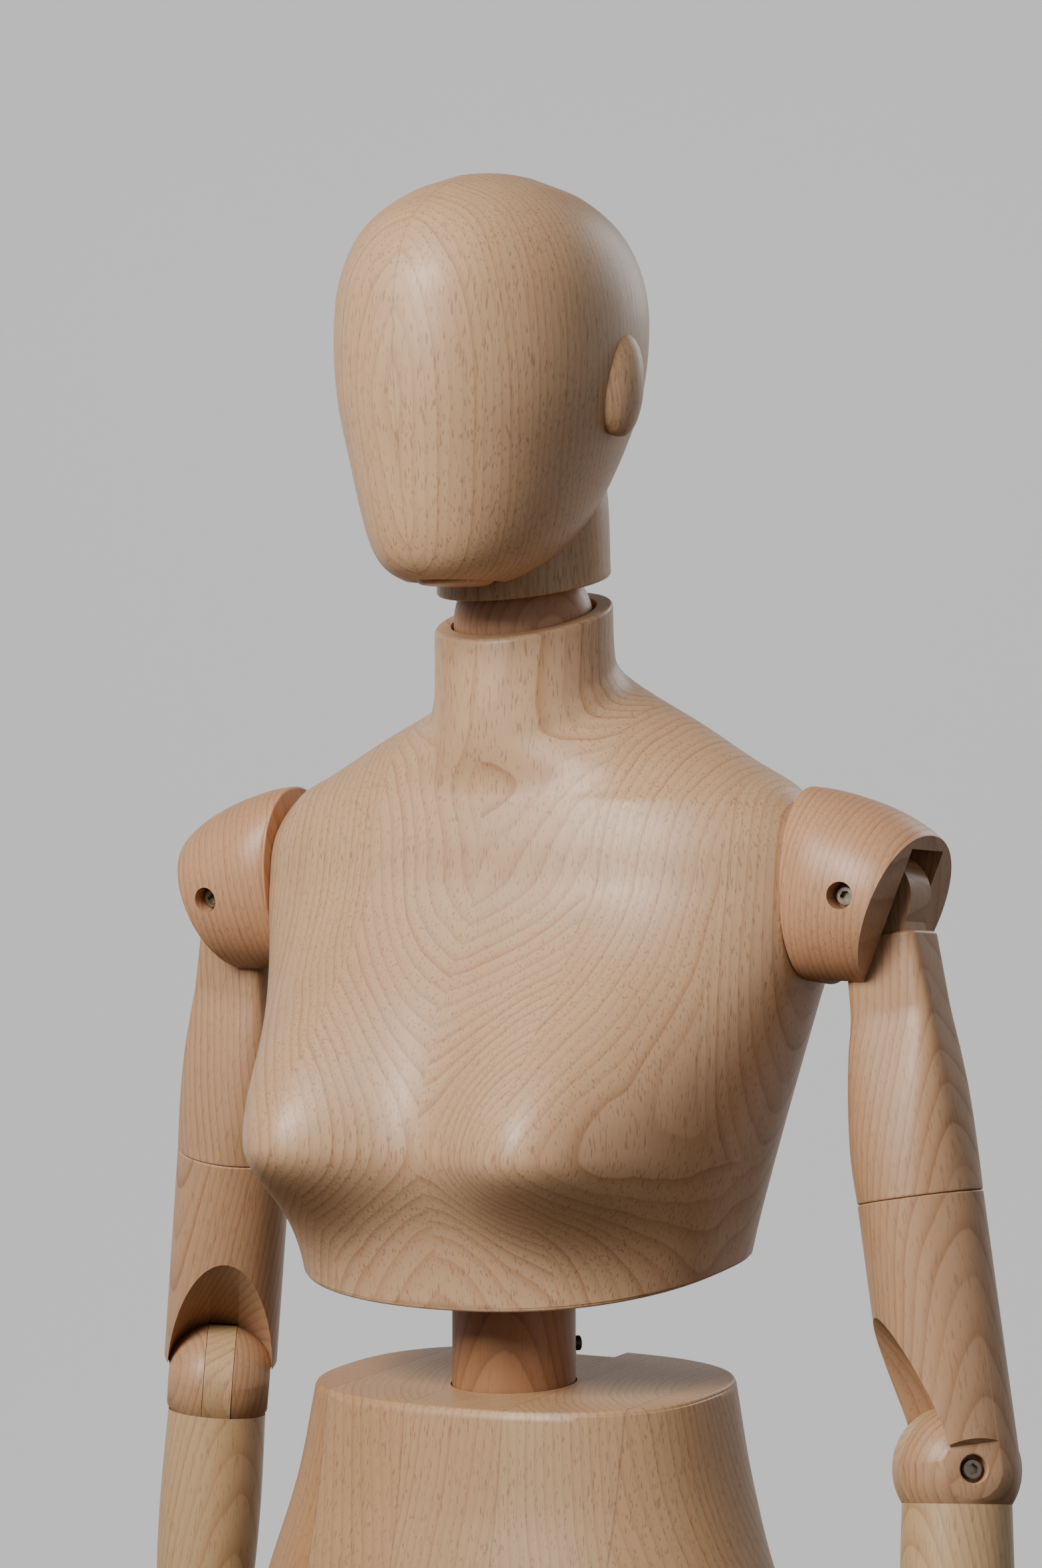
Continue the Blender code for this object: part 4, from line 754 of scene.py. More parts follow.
# Share of the height, half width, half depth, centre Y, squareness, slope of the level
TORSO_SHAPE = [(0.0000, 0.1180, 0.0860, 0.000, 2.7, 0.120), (0.0800, 0.1230, 0.0890, 0.001, 2.7, 0.070),
               (0.2158, 0.1350, 0.0920, 0.004, 2.6, 0.030), (0.4040, 0.1530, 0.0900, 0.014, 2.4, 0.000),
               (0.5086, 0.1630, 0.0830, 0.021, 2.4, 0.000), (0.5839, 0.1680, 0.0770, 0.024, 2.4, 0.000),
               (0.6654, 0.1650, 0.0720, 0.022, 2.3, 0.030), (0.7334, 0.1470, 0.0640, 0.018, 2.2, 0.100),
               (0.7660, 0.1260, 0.0590, 0.014, 2.1, 0.200), (0.8080, 0.0980, 0.0545, 0.009, 2.05, 0.340),
               (0.8630, 0.0565, 0.0515, 0.002, 2.0, 0.420), (0.8920, 0.0490, 0.0485, -0.002, 2.0, 0.420),
               (0.9200, 0.0475, 0.0475, -0.003, 2.0, 0.400), (1.0000, 0.0470, 0.0470, -0.004, 2.0, 0.306)]
TORSO_HEIGHT = 0.348
SHOULDER_FACE = 0.157
TORSO_FRAME = Matrix.Translation((0, 0, pin_at.z - 0.046))
NECK_SEAT = 0.0386          # radius of the hollow round the neck ball
neck_at = Vector(joints["neck_nod"]["pos_m"])


BREAST_SPREAD = 0.083       # centre plane to the breast's middle
BREAST_RISE = 0.074
BREAST_REACH = 0.066
BREAST_WIDTH = 0.045
BREAST_ABOVE = 0.053        # how softly it falls away above and below
BREAST_BELOW = 0.027


def breast(x, z):
    spread = BREAST_BELOW if z < BREAST_RISE else BREAST_ABOVE
    height = math.exp(-((z - BREAST_RISE) / spread) ** 2 / 2)
    return BREAST_REACH * height * sum(
        math.exp(-((x - side * BREAST_SPREAD) / BREAST_WIDTH) ** 2 / 2) for side in (1, -1))


torso_rings = []
for i in range(161):
    share, half_x, half_y, centre, power, slope = between(TORSO_SHAPE, i / 160)
    ring = oval(half_x, half_y, TORSO_HEIGHT * share, (0, centre), power, slope, 224)
    for point in ring:
        point.z += 0.008 * (1 - share) ** 6 * (point.x / half_x) ** 2
        front = max(0.0, min(1.0, (centre - point.y) / half_y))
        point.y -= breast(point.x, point.z) * front ** 0.8
    torso_rings.append(ring)
torso = skinned("torso_carved", eased(torso_rings, 0.0022), TORSO_FRAME)
room = POST_RADIUS + 0.015
worked_with(
    torso,
    ("INTERSECT", block((-SHOULDER_FACE, -0.5, -0.5), (SHOULDER_FACE, 0.5, 0.5), TORSO_FRAME)),
    ("DIFFERENCE", block((-POST_RADIUS - 0.001, -room, -1), (POST_RADIUS + 0.001, room, POST_RADIUS + 0.006),
                         Matrix.Translation(pin_at))),
    ("DIFFERENCE", peg(PIN_BORE, -0.0603, 0.0603, along_x(Matrix.Translation(pin_at)), 32)),
    ("DIFFERENCE", lathed(ball_rows(NECK_SEAT, 0, 180, 64), Matrix.Translation(neck_at), 128)),
    ("DIFFERENCE", peg(NECK_SEAT, 0, 0.1, Matrix.Translation(neck_at), 128)),
    *[("DIFFERENCE", peg(PIN_BORE, *sorted((side * (SHOULDER_FACE - 0.0253), side)),
                         along_x(Matrix.Translation((0, 0.020, pin_at.z + 0.156))), 32)) for side in (1, -1)])
TORSO_BEECH = beech("torso_beech", TORSO_FRAME, Board_width=0.066, Board_offset=0.033, Pith_depth=0.03,
                    Pith_side=0.34, Pith_lean=-0.04, Layer_width=0.0044, Wander=0.010, Seed=7.0,
                    Line_strength=0.7, Board_contrast=0.5, Flecks=0.7, Glue_line=0.05,
                    Early_wood=(0.61, 0.385, 0.225, 1), Late_wood=(0.34, 0.16, 0.07, 1),
                    Other_board=(0.56, 0.335, 0.18, 1))
finished(torso, TORSO_BEECH, "torso", ["torso"])


# ---- Neck ball ----------------------------------------------------------------
# A turned ball that sits in the torso's socket and under the head, on a stud.

neck_ball = on_lathe("neck_ball_turned", ball_rows(0.037, 0, 180, 64), BLACKENED,
                     Matrix.Translation(neck_at), 96)
finished(neck_ball, beech("neck_ball_beech", Matrix.Translation(neck_at), (0, 0, 40), Seed=33.0,
                          **LIMB_WOOD | REDDISH), "neck", ["neck_ball"])


# ---- Head ---------------------------------------------------------------------
# Two blocks of beech glued down the middle and carved to a plain egg with flat
# pads for ears. The blocks mirror each other's figure about the glue line.

# Depth below the crown as a share, half width, front Y, back Y
HEAD_SHAPE = [(0.012, 0.019, -0.059, -0.005), (0.055, 0.040, -0.085, 0.023), (0.140, 0.059, -0.113, 0.048),
              (0.260, 0.070, -0.128, 0.061), (0.400, 0.073, -0.132, 0.062), (0.560, 0.070, -0.131, 0.055),
              (0.720, 0.061, -0.126, 0.039), (0.860, 0.051, -0.121, 0.016), (0.940, 0.042, -0.116, -0.009),
              (0.985, 0.032, -0.109, -0.031), (1.015, 0.019, -0.097, -0.051)]
HEAD_HEIGHT = 0.2125
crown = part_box("head")[1][2]
HEAD_FRAME = Matrix.Translation((0, 0, crown))
head_rings = [[Vector((0, -0.032, 0))]]
depths = [0.012 * (i / 8) ** 2 for i in range(2, 8)] + [0.012 + 1.003 * (i / 104) for i in range(105)]
for depth in depths:
    if depth < 0.012:
        across = math.sqrt(depth / 0.012)
        half_x, front, back = 0.019 * across, -0.032 - 0.027 * across, -0.032 + 0.027 * across
    else:
        _, half_x, front, back = between(HEAD_SHAPE, depth)
    head_rings.append(oval(half_x, (back - front) / 2, -depth * HEAD_HEIGHT,
                           (0, (front + back) / 2), 2.15, sides=160))
head = skinned("head_carved", eased(head_rings, 0.006, (False, True)), HEAD_FRAME)
collar = Matrix.Translation((0, neck_at.y, crown - HEAD_HEIGHT))
column_rings = []
for i in range(25):
    up = i / 24 * 0.095
    _, half_x, half_y, slope = between([(0, 0.046, 0.046, 0.23), (0.045, 0.0442, 0.0446, 0.10),
                                        (0.095, 0.0368, 0.0391, 0.0)], up)
    column_rings.append(oval(half_x, half_y, up, slope=slope, sides=128))
tools = [("UNION", skinned("tool", eased(column_rings, 0.0018, (True, False)), collar))]
for side in (1, -1):
    ear_place = Matrix.Translation((side * 0.069, -0.022, crown - HEAD_HEIGHT * 0.525)) \
        @ Matrix.Rotation(math.radians(-8), 4, "X") @ Matrix.Diagonal((0.010, 0.017, 0.027, 1))
    pad = [(r ** 0.8 if r else 0, z) for r, z in ball_rows(1, 0, 180, 48)]
    tools.append(("UNION", lathed(pad, ear_place, 64)))
tools += [("DIFFERENCE", lathed(ball_rows(NECK_SEAT, 0, 180, 64), Matrix.Translation(neck_at), 128)),
          ("DIFFERENCE", peg(0.0064, 0, 0.089, Matrix.Translation(neck_at), 32))]
worked_with(head, *tools)
HEAD_BEECH = beech("head_beech", HEAD_FRAME, Board_width=0.2, Board_offset=-0.1, Mirror=1.0, Pith_depth=0.16,
                   Pith_side=0.10, Pith_lean=0.10, Layer_width=0.0046, Wander=0.024, Seed=5.0,
                   Line_strength=0.55, Board_contrast=0.0, Flecks=0.7, Glue_line=0.3,
                   Early_wood=(0.60, 0.375, 0.215, 1), Late_wood=(0.35, 0.165, 0.07, 1),
                   Other_board=(0.58, 0.35, 0.20, 1))
finished(head, HEAD_BEECH, "head", ["head"])


# ---- Shoulder caps --------------------------------------------------------------
# Hoods of redder beech that turn on a stud against the torso's flat faces. Each is
# cut off obliquely below, and slotted from underneath for the arm's flat tenon.

# Distance out from the joint face, half depth, top and bottom above the centre, centre Y
CAP_SHAPE = [(0.000, 0.0355, 0.0560, -0.0440, 0.000), (0.012, 0.0415, 0.0545, -0.0455, 0.002),
             (0.026, 0.0445, 0.0510, -0.0465, 0.004), (0.042, 0.0450, 0.0455, -0.0465, 0.005),
             (0.056, 0.0420, 0.0385, -0.0445, 0.005), (0.066, 0.0360, 0.0310, -0.0400, 0.005),
             (0.070, 0.0280, 0.0240, -0.0340, 0.005)]
CAP_SLOT = 0.036
SHOULDER_REACH = 0.037      # joint face to the bolt
SLOT_Y = 0.006              # the bolt behind the joint's centre
SHOULDER_DROP = -0.001
SLOT_INNER = -0.025         # the bolt to the slot's inner side
SLOT_ROOF = 0.0265
RIM_DISTANCE = 0.0161
RIM_ANGLE = 20.5
SHOULDER_SINK = 0.034       # slot's middle to the counterbore's floor
SHOULDER_BOLT = 0.003


def cap_frame(tail, side):
    y = Vector(joints["shoulder_raise" + tail]["axis"]) * -side
    x = Vector((1, 0, 0))
    z = x.cross(y)
    turn = Matrix((x, y, z)).transposed().to_4x4()
    return Matrix.Translation(joints["shoulder_swing" + tail]["pos_m"]) @ turn


for side, tail, seed in ((1, "_left", 41.0), (-1, "_right", 47.5)):
    place = cap_frame(tail, side)
    bolt_at = Matrix.Translation(Vector((side * SHOULDER_REACH, SLOT_Y, SHOULDER_DROP)))
    rings = []
    for i in range(61):
        out, half_y, top, bottom, centre = between(CAP_SHAPE, 0.070 * math.sin(math.pi / 2 * i / 60))
        middle, half_z = (top + bottom) / 2, (top - bottom) / 2
        rings.append([Vector((side * (out + FIT), centre + p.x, middle + p.y))
                      for p in oval(half_y, half_z, 0, power=2.1, sides=144)])
    cap = skinned("shoulder_cap_carved" + tail, eased(rings, 0.0012, (True, False)), place)
    outline = [Vector((SLOT_INNER, -0.5)), Vector((SLOT_INNER, 0.008))]
    start = math.degrees(math.acos(SLOT_INNER / SLOT_ROOF)) - 4
    for i in range(25):
        angle = math.radians(start + (86.0 - start) * i / 24)
        outline.append(Vector((SLOT_ROOF * math.cos(angle), SLOT_ROOF * math.sin(angle))))
    slope = math.radians(4.0)
    outline.append(outline[-1] + 0.5 * Vector((math.cos(slope), -math.sin(slope))))
    outline.append(Vector((outline[-1].x, -0.5)))
    half = CAP_SLOT / 2
    slot_tool = skinned("tool", [[Vector((side * x, y, z)) for x, z in outline] for y in (-half, half)],
                        place @ bolt_at)
    rim_angle = math.radians(RIM_ANGLE if side > 0 else 180 - RIM_ANGLE)
    rim_tool = block((RIM_DISTANCE, -0.5, -0.5), (0.5, 0.5, 0.5),
                     place @ bolt_at @ Matrix.Rotation(rim_angle, 4, "Y"))
    tools = [("DIFFERENCE", rim_tool), ("DIFFERENCE", slot_tool),
             ("DIFFERENCE", peg(SHOULDER_BOLT + BORE_PLAY, -0.5, 0.5, along_y(place @ bolt_at), 32)),
             ("DIFFERENCE", peg(PIN_BORE, *sorted((-side * 1.0, side * 0.009)), along_x(place), 32))]
    for way in (1, -1):
        tools.append(("DIFFERENCE", peg(0.007, *sorted((way * SHOULDER_SINK, way * 0.5)),
                                        along_y(place @ bolt_at), 64)))
    worked_with(cap, *tools)
    finished(cap, beech("shoulder_cap_beech" + tail, place, (0, 0, 90 * side), Seed=seed, **LIMB_WOOD | dict(
        Pith_depth=0.16, Layer_width=0.0038, Wander=0.009, Early_wood=(0.56, 0.305, 0.165, 1),
        Late_wood=(0.33, 0.14, 0.06, 1), Other_board=(0.52, 0.275, 0.145, 1))),
        "shoulder" + tail, ["shoulder_cap" + tail])


# ---- Upper arms, elbow knuckles and forearms --------------------------------------
# The upper arm is a flat tenon that swells to a round. Below a fine swivel line
# the elbow knuckle turns on a steel pin, and holds the tongue of the forearm.

# Distance below the shoulder bolt, half width, half thickness, offset outwards, squareness
UPPER_ARM_SHAPE = [(0.020, 0.0205, 0.0175, 0.003, 6.0), (0.058, 0.0230, 0.0175, 0.003, 5.0),
                   (0.078, 0.0258, 0.0215, 0.002, 4.0), (0.103, 0.0290, 0.0265, 0.001, 3.0),
                   (0.130, 0.0312, 0.0302, 0.000, 2.4), (0.153, 0.0320, 0.0320, 0.000, 2.0)]
FOREARM_SHAPE = [(0.000, 0.0275), (0.250, 0.0287), (0.450, 0.0280), (0.700, 0.0245), (1.000, 0.0215)]
TENON_HALF = 0.0175         # half thickness of the flat tenon
UPPER_ARM_TOP = 0.153       # shoulder bolt to the swivel line
UPPER_ARM_END = 0.137       # swivel line to elbow bolt
FOREARM_END = 0.216         # elbow bolt to the wrist's swivel line
SWIVEL_BORE = 0.0086
SWIVEL_REACH = 0.0303
ELBOW = Knuckle(0.0320, 0.0285, 0.0166, 0.003, 0.0275)
WRIST = Knuckle(0.0225, 0.0200, 0.0116, 0.003, 0.0190)

for side, tail, seed in ((1, "_left", 52.0), (-1, "_right", 58.0)):
    down = Vector(joints["arm_turn" + tail]["axis"]) * side
    y = Vector(joints["shoulder_raise" + tail]["axis"]) * -side
    turn = Matrix((y.cross(down), y, down)).transposed().to_4x4()
    place = Matrix.Translation(joints["shoulder_raise" + tail]["pos_m"]) @ turn
    rings = []
    for i in range(73):
        below, half_x, half_y, offset, power = between(UPPER_ARM_SHAPE, 0.020 + 0.133 * i / 72)
        rings.append(oval(half_x, max(half_y, TENON_HALF), -below, (side * offset, 0),
                          max(power, 2.0), sides=128))
    rings = eased(eased(rings, 0.0022, (True, False)), 0.0008, (False, True))
    arm = skinned("upper_arm_carved" + tail, rings, place)
    line = place @ Matrix.Translation((0, 0, -UPPER_ARM_TOP))
    worked_with(arm, ("UNION", peg(0.0235, -0.012, 0.012, along_y(place), 96)),
                ("UNION", block((-0.018, -0.012, -0.030), (0.018, 0.012, -0.004), place)),
                ("DIFFERENCE", peg(0.0034, -0.5, 0.5, along_y(place), 32)),
                ("DIFFERENCE", peg(SWIVEL_BORE, -1, SWIVEL_REACH, line, 32)))
    wood = beech("upper_arm_beech" + tail, place, (0, 0, 70 * side), Seed=seed, **LIMB_WOOD | TAN)
    finished(arm, wood, "upper_arm" + tail, ["upper_arm" + tail])

    knuckle_frame = frame_at("arm_turn" + tail, "elbow_bend" + tail, -1, down)
    elbow_centre = knuckle_frame @ Matrix.Translation((0, 0, -UPPER_ARM_END))
    rows = [(0, -FIT), (0.0312, -FIT), (0.0320, -0.0011)]
    rows += ball_rows(ELBOW.ball, 90, 180, 48, -UPPER_ARM_END)
    knuckle = on_lathe("elbow_knuckle_turned" + tail, rows, BLACKENED, knuckle_frame, 128)
    worked_with(knuckle, ("DIFFERENCE", trough(ELBOW, elbow_centre, -1, 42.0)),
                *knuckle_tools(ELBOW, elbow_centre, flats_to=0.012),
                ("DIFFERENCE", peg(SWIVEL_BORE, -SWIVEL_REACH, 1, knuckle_frame, 32)))
    wood = beech("elbow_beech" + tail, knuckle_frame, (0, 0, 110), Seed=seed + 1, **LIMB_WOOD | TAN)
    finished(knuckle, wood, "elbow" + tail, ["elbow_knuckle" + tail])

    forearm_z = Vector(joints["wrist_turn" + tail]["axis"]) * side
    forearm_frame = frame_at("elbow_bend" + tail, x_sign=-1, z=forearm_z)
    top = limb_top(ELBOW)
    rings = []
    for i in range(81):
        share, radius = between(FOREARM_SHAPE, i / 80)
        rings.append(oval(radius, radius, -top - (FOREARM_END - top) * share, sides=128))
    forearm = skinned("forearm_turned" + tail, eased(rings, 0.0008, (False, True)), forearm_frame)
    worked_with(forearm, *tongue_tools(ELBOW, forearm_frame),
                ("DIFFERENCE", peg(0.0066, -1, 0.0253,
                                   forearm_frame @ Matrix.Translation((0, 0, -FOREARM_END)), 32)))
    wood = beech("forearm_beech" + tail, forearm_frame, (0, 0, 20), Seed=seed + 2, **LIMB_WOOD | PALE)
    finished(forearm, wood, "forearm" + tail, ["forearm" + tail])


# ---- Wrist knuckles and hands -------------------------------------------------------
# A small knuckle turns in the end of the forearm on its own spigot. The hand is
# carved in one piece, its fingers parted by shallow grooves, the thumb let in.

# Distance below the wrist bolt as a share of the hand, half width, half thickness
HAND_SHAPE = [(0.06, 0.019, 0.0170), (0.15, 0.0235, 0.0165), (0.32, 0.0370, 0.0145), (0.50, 0.0400, 0.0125),
              (0.72, 0.0370, 0.0105), (0.90, 0.0290, 0.0085), (1.00, 0.0160, 0.0060)]
THUMB_SHAPE = [(0.000, 0.014), (0.030, 0.014), (0.055, 0.0125), (0.080, 0.0100), (0.090, 0.0055)]
THUMB_LENGTH = 0.090
THUMB_LEAN = 24.0
HAND_LENGTH = 0.178
FINGER_WIDTH = 0.0185
WRIST_END = 0.027           # swivel line to the wrist bolt

for side, tail, seed in ((1, "_left", 63.0), (-1, "_right", 68.0)):
    wrist_z = Vector(joints["wrist_turn" + tail]["axis"]) * side
    wrist_frame = frame_at("wrist_turn" + tail, "wrist_bend" + tail, -1, wrist_z)
    wrist_centre = wrist_frame @ Matrix.Translation((0, 0, -WRIST_END))
    rows = [(0, 0.025), (0.006, 0.025), (0.006, -FIT), (0.0207, -FIT), (0.0215, -0.0011),
            (0.0225, -0.016)] + ball_rows(WRIST.ball, 90, 180, 40, -WRIST_END)
    knuckle = on_lathe("wrist_knuckle_turned" + tail, rows, BLACKENED, wrist_frame, 96)
    worked_with(knuckle, *knuckle_tools(WRIST, wrist_centre, flats_to=0.009))
    wood = beech("wrist_beech" + tail, wrist_frame, (0, 0, 60), Seed=seed, **LIMB_WOOD | REDDISH)
    finished(knuckle, wood, "wrist" + tail, ["wrist_knuckle" + tail])

    rings = []
    for i in range(121):
        share, half_x, half_y = between(HAND_SHAPE, 0.06 + 0.94 * math.sin(math.pi / 2 * i / 120))
        ring = oval(half_x, half_y, -share * HAND_LENGTH, power=2.5, sides=192)
        parted = max(0.0, min(1.0, (share - 0.46) / 0.10))
        for point in ring:
            across = point.x / FINGER_WIDTH
            groove = math.exp(-((across - round(across)) / 0.10) ** 2) if abs(round(across)) <= 1 else 0.0
            point.y *= 1 - 0.42 * parted * groove
            knuckles = math.exp(-((share - 0.47) / 0.035) ** 2) + math.exp(-((share - 0.70) / 0.025) ** 2)
            point.y *= 1 + 0.05 * knuckles * (1 - groove) * (1 if point.y * side > 0 else 0)
        rings.append(ring)
    hand = skinned("hand_carved" + tail, eased(rings, 0.003), wrist_centre)
    thumb_place = wrist_centre @ Matrix.Translation((side * 0.017, 0, -0.030)) \
        @ Matrix.Rotation(-side * math.radians(THUMB_LEAN), 4, "Y")
    thumb_rows = [(0, 0)]
    for i in range(41):
        down, radius = between(THUMB_SHAPE, THUMB_LENGTH * i / 40)
        thumb_rows.append((radius, -down))
    thumb_rows.append((0, -THUMB_LENGTH - 0.0015))
    worked_with(hand, ("UNION", lathed(thumb_rows, thumb_place, 64)), *tongue_tools(WRIST, wrist_centre))
    finished(hand, beech("hand_beech" + tail, wrist_centre, (0, 0, 10), Seed=seed + 1, **LIMB_WOOD | TAN),
             "hand" + tail, ["hand" + tail])


# ---- Bolts and sleeve nuts -------------------------------------------------------------
# Burnished steel screws with hexagon sockets sit deep in round counterbores across
# every knuckle, and meet sleeve nuts with the same socket on the other side.

BURNISHED = metal("burnished_steel", (0.34, 0.29, 0.23), 0.34, 0.16, (420, 420, 420))


def screw_tree():
    tree = bpy.data.node_groups.new("socket_screws", "GeometryNodeTree")
    face = tree.interface
    face.new_socket("Places", in_out="INPUT", socket_type="NodeSocketGeometry")
    ids = {}
    for name in ("Shank radius", "Shank length", "Head radius", "Head height", "Key width"):
        ids[name] = face.new_socket(name, in_out="INPUT", socket_type="NodeSocketFloat").identifier
    ids["Finish"] = face.new_socket("Finish", in_out="INPUT", socket_type="NodeSocketMaterial").identifier
    face.new_socket("Screws", in_out="OUTPUT", socket_type="NodeSocketGeometry")
    start = tree.nodes.new("NodeGroupInput").outputs
    join = tree.links.new

    def sized(operation, first, second):
        return worked(tree, operation, first, second)

    def shape(kind, **inputs):
        made = tree.nodes.new(kind)
        for name, value in inputs.items():
            socket = made.inputs[name.replace("_", " ")]
            if isinstance(value, bpy.types.NodeSocket):
                join(value, socket)
            else:
                socket.default_value = value
        return made.outputs["Mesh"]

    def raised(mesh, height):
        lift = wired(tree, "ShaderNodeCombineXYZ", 0.0, 0.0, height).outputs[0]
        moved = tree.nodes.new("GeometryNodeTransform")
        join(mesh, moved.inputs["Geometry"])
        join(lift, moved.inputs["Translation"])
        return moved.outputs[0]

    def cut_with(operation, first, second):
        made = tree.nodes.new("GeometryNodeMeshBoolean")
        made.operation = operation
        made.solver = "EXACT"
        if operation == "DIFFERENCE":
            join(first, made.inputs[0])
            join(second, made.inputs[1])
        else:
            join(first, made.inputs[1])
            join(second, made.inputs[1])
        return made.outputs[0]

    tall = sized("ADD", start["Head height"], 0.001)
    drum = shape("GeometryNodeMeshCylinder", Vertices=48, Radius=start["Head radius"], Depth=tall)
    drum = raised(drum, sized("MULTIPLY", start["Head height"], 0.5))
    rim = sized("MULTIPLY", start["Head radius"], 0.9)
    cone = shape("GeometryNodeMeshCone", Vertices=48, Radius_Top=rim, Depth=start["Head height"],
                 Radius_Bottom=sized("ADD", rim, start["Head height"]))
    head = cut_with("INTERSECT", drum, cone)
    key = shape("GeometryNodeMeshCylinder", Vertices=6, Radius=sized("MULTIPLY", start["Key width"], 0.577),
                Depth=sized("MULTIPLY", start["Key width"], 1.3))
    head = cut_with("DIFFERENCE", head, raised(key, start["Head height"]))
    shank = shape("GeometryNodeMeshCylinder", Vertices=32, Radius=start["Shank radius"],
                  Depth=start["Shank length"])
    shank = raised(shank, sized("MULTIPLY", start["Shank length"], -0.5))
    both = tree.nodes.new("GeometryNodeJoinGeometry")
    join(shank, both.inputs[0])
    join(head, both.inputs[0])
    axis = wired(tree, "GeometryNodeInputNamedAttribute", "axis", data_type="FLOAT_VECTOR")
    aimed = tree.nodes.new("FunctionNodeAlignRotationToVector")
    aimed.axis = "Z"
    join(axis.outputs["Attribute"], aimed.inputs["Vector"])
    placed = tree.nodes.new("GeometryNodeInstanceOnPoints")
    join(start["Places"], placed.inputs["Points"])
    join(both.outputs[0], placed.inputs["Instance"])
    join(aimed.outputs[0], placed.inputs["Rotation"])
    real = wired(tree, "GeometryNodeRealizeInstances", placed.outputs[0])
    paint = tree.nodes.new("GeometryNodeSetMaterial")
    join(real.outputs[0], paint.inputs["Geometry"])
    join(start["Finish"], paint.inputs["Material"])
    join(paint.outputs[0], tree.nodes.new("NodeGroupOutput").inputs["Screws"])
    return tree, ids


SCREWS = screw_tree()


def screwed(name, body, nodes, places, shank_radius, shank_length, head_radius, head_height):
    """Screws with their heads seated at each (place, axis), as one mesh for the body."""
    mesh = bpy.data.meshes.new(name)
    mesh.from_pydata([place for place, _ in places], [], [])
    axes = mesh.attributes.new("axis", "FLOAT_VECTOR", "POINT")
    for item, (_, axis) in zip(axes.data, places):
        item.vector = axis
    thing = bpy.data.objects.new(name, mesh)
    bpy.context.scene.collection.objects.link(thing)
    step = thing.modifiers.new("screws", "NODES")
    tree, ids = SCREWS
    step.node_group = tree
    for socket, value in (("Shank radius", shank_radius), ("Shank length", shank_length),
                          ("Head radius", head_radius), ("Head height", head_height),
                          ("Key width", head_radius), ("Finish", BURNISHED)):
        step[ids[socket]] = value
    baked(thing)
    tidy(thing.data)
    fitted(thing, body, nodes)


for side, tail in ((1, "_left"), (-1, "_right")):
    centre = cap_frame(tail, side) @ Vector((side * SHOULDER_REACH, SLOT_Y, SHOULDER_DROP))
    y = Vector(joints["shoulder_raise" + tail]["axis"]) * -side
    screwed("shoulder_screws" + tail, "shoulder" + tail, ["shoulder_bolt" + tail, "shoulder_nut" + tail],
            [(centre - y * (SHOULDER_SINK + FIT), -y), (centre + y * (SHOULDER_SINK + FIT), y)],
            SHOULDER_BOLT, SHOULDER_SINK, SHOULDER_BOLT * 5 / 3, 0.0054)
    for joint, knuckle, body, kind in (
            ("elbow_bend", ELBOW, "elbow", "elbow"), ("wrist_bend", WRIST, "wrist", "wrist"),
            ("hip_swing", HIP, "hip", "hip"), ("knee_bend", KNEE, "thigh", "knee"),
            ("ankle_bend", ANKLE, "shin", "ankle")):
        centre = Vector(joints[joint + tail]["pos_m"])
        axis = Vector(joints[joint + tail]["axis"])
        outwards = axis * (side if kind == "knee" else -side)
        seat = knuckle.cheek - knuckle.depth + FIT
        nodes = [kind + "_bolt" + tail]
        places = [(centre + outwards * seat, outwards)]
        length = seat * 2 - 2 * FIT
        if kind not in ("wrist", "ankle"):
            nodes.append(kind + "_nut" + tail)
            places.append((centre - outwards * seat, -outwards))
            length = seat
        screwed(kind + "_screws" + tail, body + tail, nodes, places, knuckle.bolt, length,
                knuckle.bolt * 5 / 3, knuckle.depth * 0.6)

screwed("rod_clamp_socket_screw", "stand_and_pelvis", ["rod_clamp_screw"],
        [(Vector((0, CLAMP_SEAT + FIT, pelvis_z + CLAMP_RISE)), Vector((0, 1, 0)))],
        0.004, 0.0930, 0.008, 0.0077)


# ---- Studio ------------------------------------------------------------------------------
# A pale floor that curves up all round, a soft key from the upper left, a weak fill
# from the right, a lamp behind the figure, one for the backdrop, and a level long lens.

CAMERA_TURN = math.radians(31.0)
CAMERA_DISTANCE = 2.30
CAMERA_HEIGHT = cad_box[1][2] - 0.3175
CAMERA_SLIP = -0.0035
ahead = Vector((-math.sin(CAMERA_TURN), math.cos(CAMERA_TURN), 0))
right = Vector((math.cos(CAMERA_TURN), math.sin(CAMERA_TURN), 0))
lens = bpy.data.cameras.new("camera")
lens.lens = 100.0
lens.sensor_width = 36.0
lens.clip_end = 100.0
camera = bpy.data.objects.new("camera", lens)
bpy.context.scene.collection.objects.link(camera)
camera.location = -ahead * CAMERA_DISTANCE + right * CAMERA_SLIP + Vector((0, 0, CAMERA_HEIGHT))
camera.rotation_euler = (math.pi / 2, 0, CAMERA_TURN)
bpy.context.scene.camera = camera

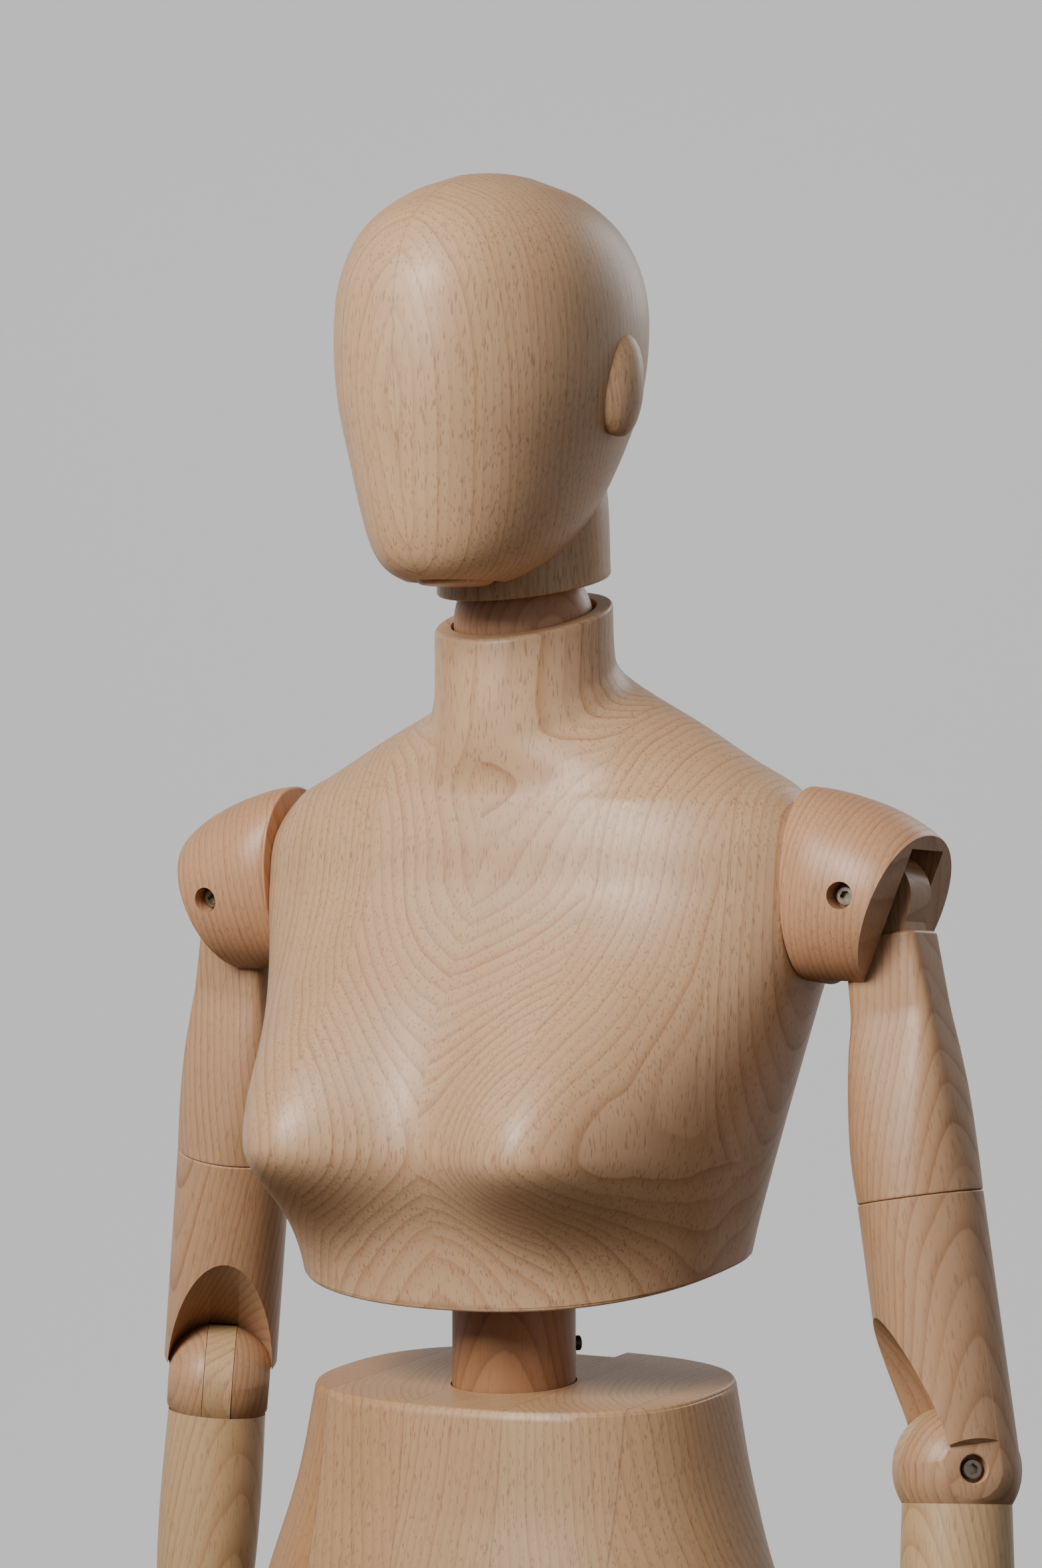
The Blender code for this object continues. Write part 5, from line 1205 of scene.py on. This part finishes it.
STAGE_FLAT = 4.2
STAGE_CURVE = 2.4
STAGE_HEIGHT = 5.0
stage_profile = [(0, 0)]
for i in range(25):
    angle = math.pi / 2 * i / 24
    stage_profile.append((STAGE_FLAT + STAGE_CURVE * math.sin(angle), STAGE_CURVE * (1 - math.cos(angle))))
stage_profile.append((STAGE_FLAT + STAGE_CURVE, STAGE_HEIGHT))
drawing = bmesh.new()
rows = [[drawing.verts.new(point) for point in oval(radius, radius, height, sides=128)]
        for radius, height in stage_profile[1:]]
drawing.faces.new(rows[0])
for low, high in zip(rows, rows[1:]):
    for i in range(len(low)):
        drawing.faces.new((low[i], low[(i + 1) % len(low)], high[(i + 1) % len(low)], high[i]))
for corner in drawing.faces:
    corner.smooth = True
floor_mesh = bpy.data.meshes.new("floor")
drawing.to_mesh(floor_mesh)
drawing.free()
floor = bpy.data.objects.new("floor", floor_mesh)
bpy.context.scene.collection.objects.link(floor)
FLOOR = bpy.data.materials.new("pale_floor")
FLOOR.use_nodes = True
FLOOR.node_tree.nodes["Principled BSDF"].inputs["Base Color"].default_value = (0.82, 0.82, 0.82, 1)
FLOOR.node_tree.nodes["Principled BSDF"].inputs["Roughness"].default_value = 0.7
floor.data.materials.append(FLOOR)


def soft_light(name, place, aim, size, watts, colour=(1, 1, 1)):
    light = bpy.data.lights.new(name, "AREA")
    light.shape = "RECTANGLE"
    light.size, light.size_y = size
    light.energy = watts
    light.color = colour
    lamp = bpy.data.objects.new(name, light)
    bpy.context.scene.collection.objects.link(lamp)
    lamp.location = place
    lamp.rotation_euler = (Vector(aim) - Vector(place)).to_track_quat("-Z", "Y").to_euler()


TARGET = (0, 0, 1.35)
soft_light("key", -ahead * 1.9 - right * 1.5 + Vector((0, 0, 2.9)), TARGET, (1.2, 1.2), 118,
           (1.0, 0.97, 0.93))
soft_light("fill", -ahead * 2.2 + right * 2.2 + Vector((0, 0, 1.6)), TARGET, (1.8, 2.2), 4,
           (0.94, 0.97, 1.0))
soft_light("back", ahead * 1.8 + right * 1.6 + Vector((0, 0, 2.6)), TARGET, (1.2, 1.2), 16)
soft_light("backdrop", ahead * 1.4 + Vector((0, 0, 3.6)), ahead * 6.0 + Vector((0, 0, 1.4)),
           (3.0, 1.0), 150)

world = bpy.data.worlds.new("studio_air")
bpy.context.scene.world = world
world.use_nodes = True
world.node_tree.nodes["Background"].inputs["Color"].default_value = (0.80, 0.81, 0.83, 1)
world.node_tree.nodes["Background"].inputs["Strength"].default_value = 0.16
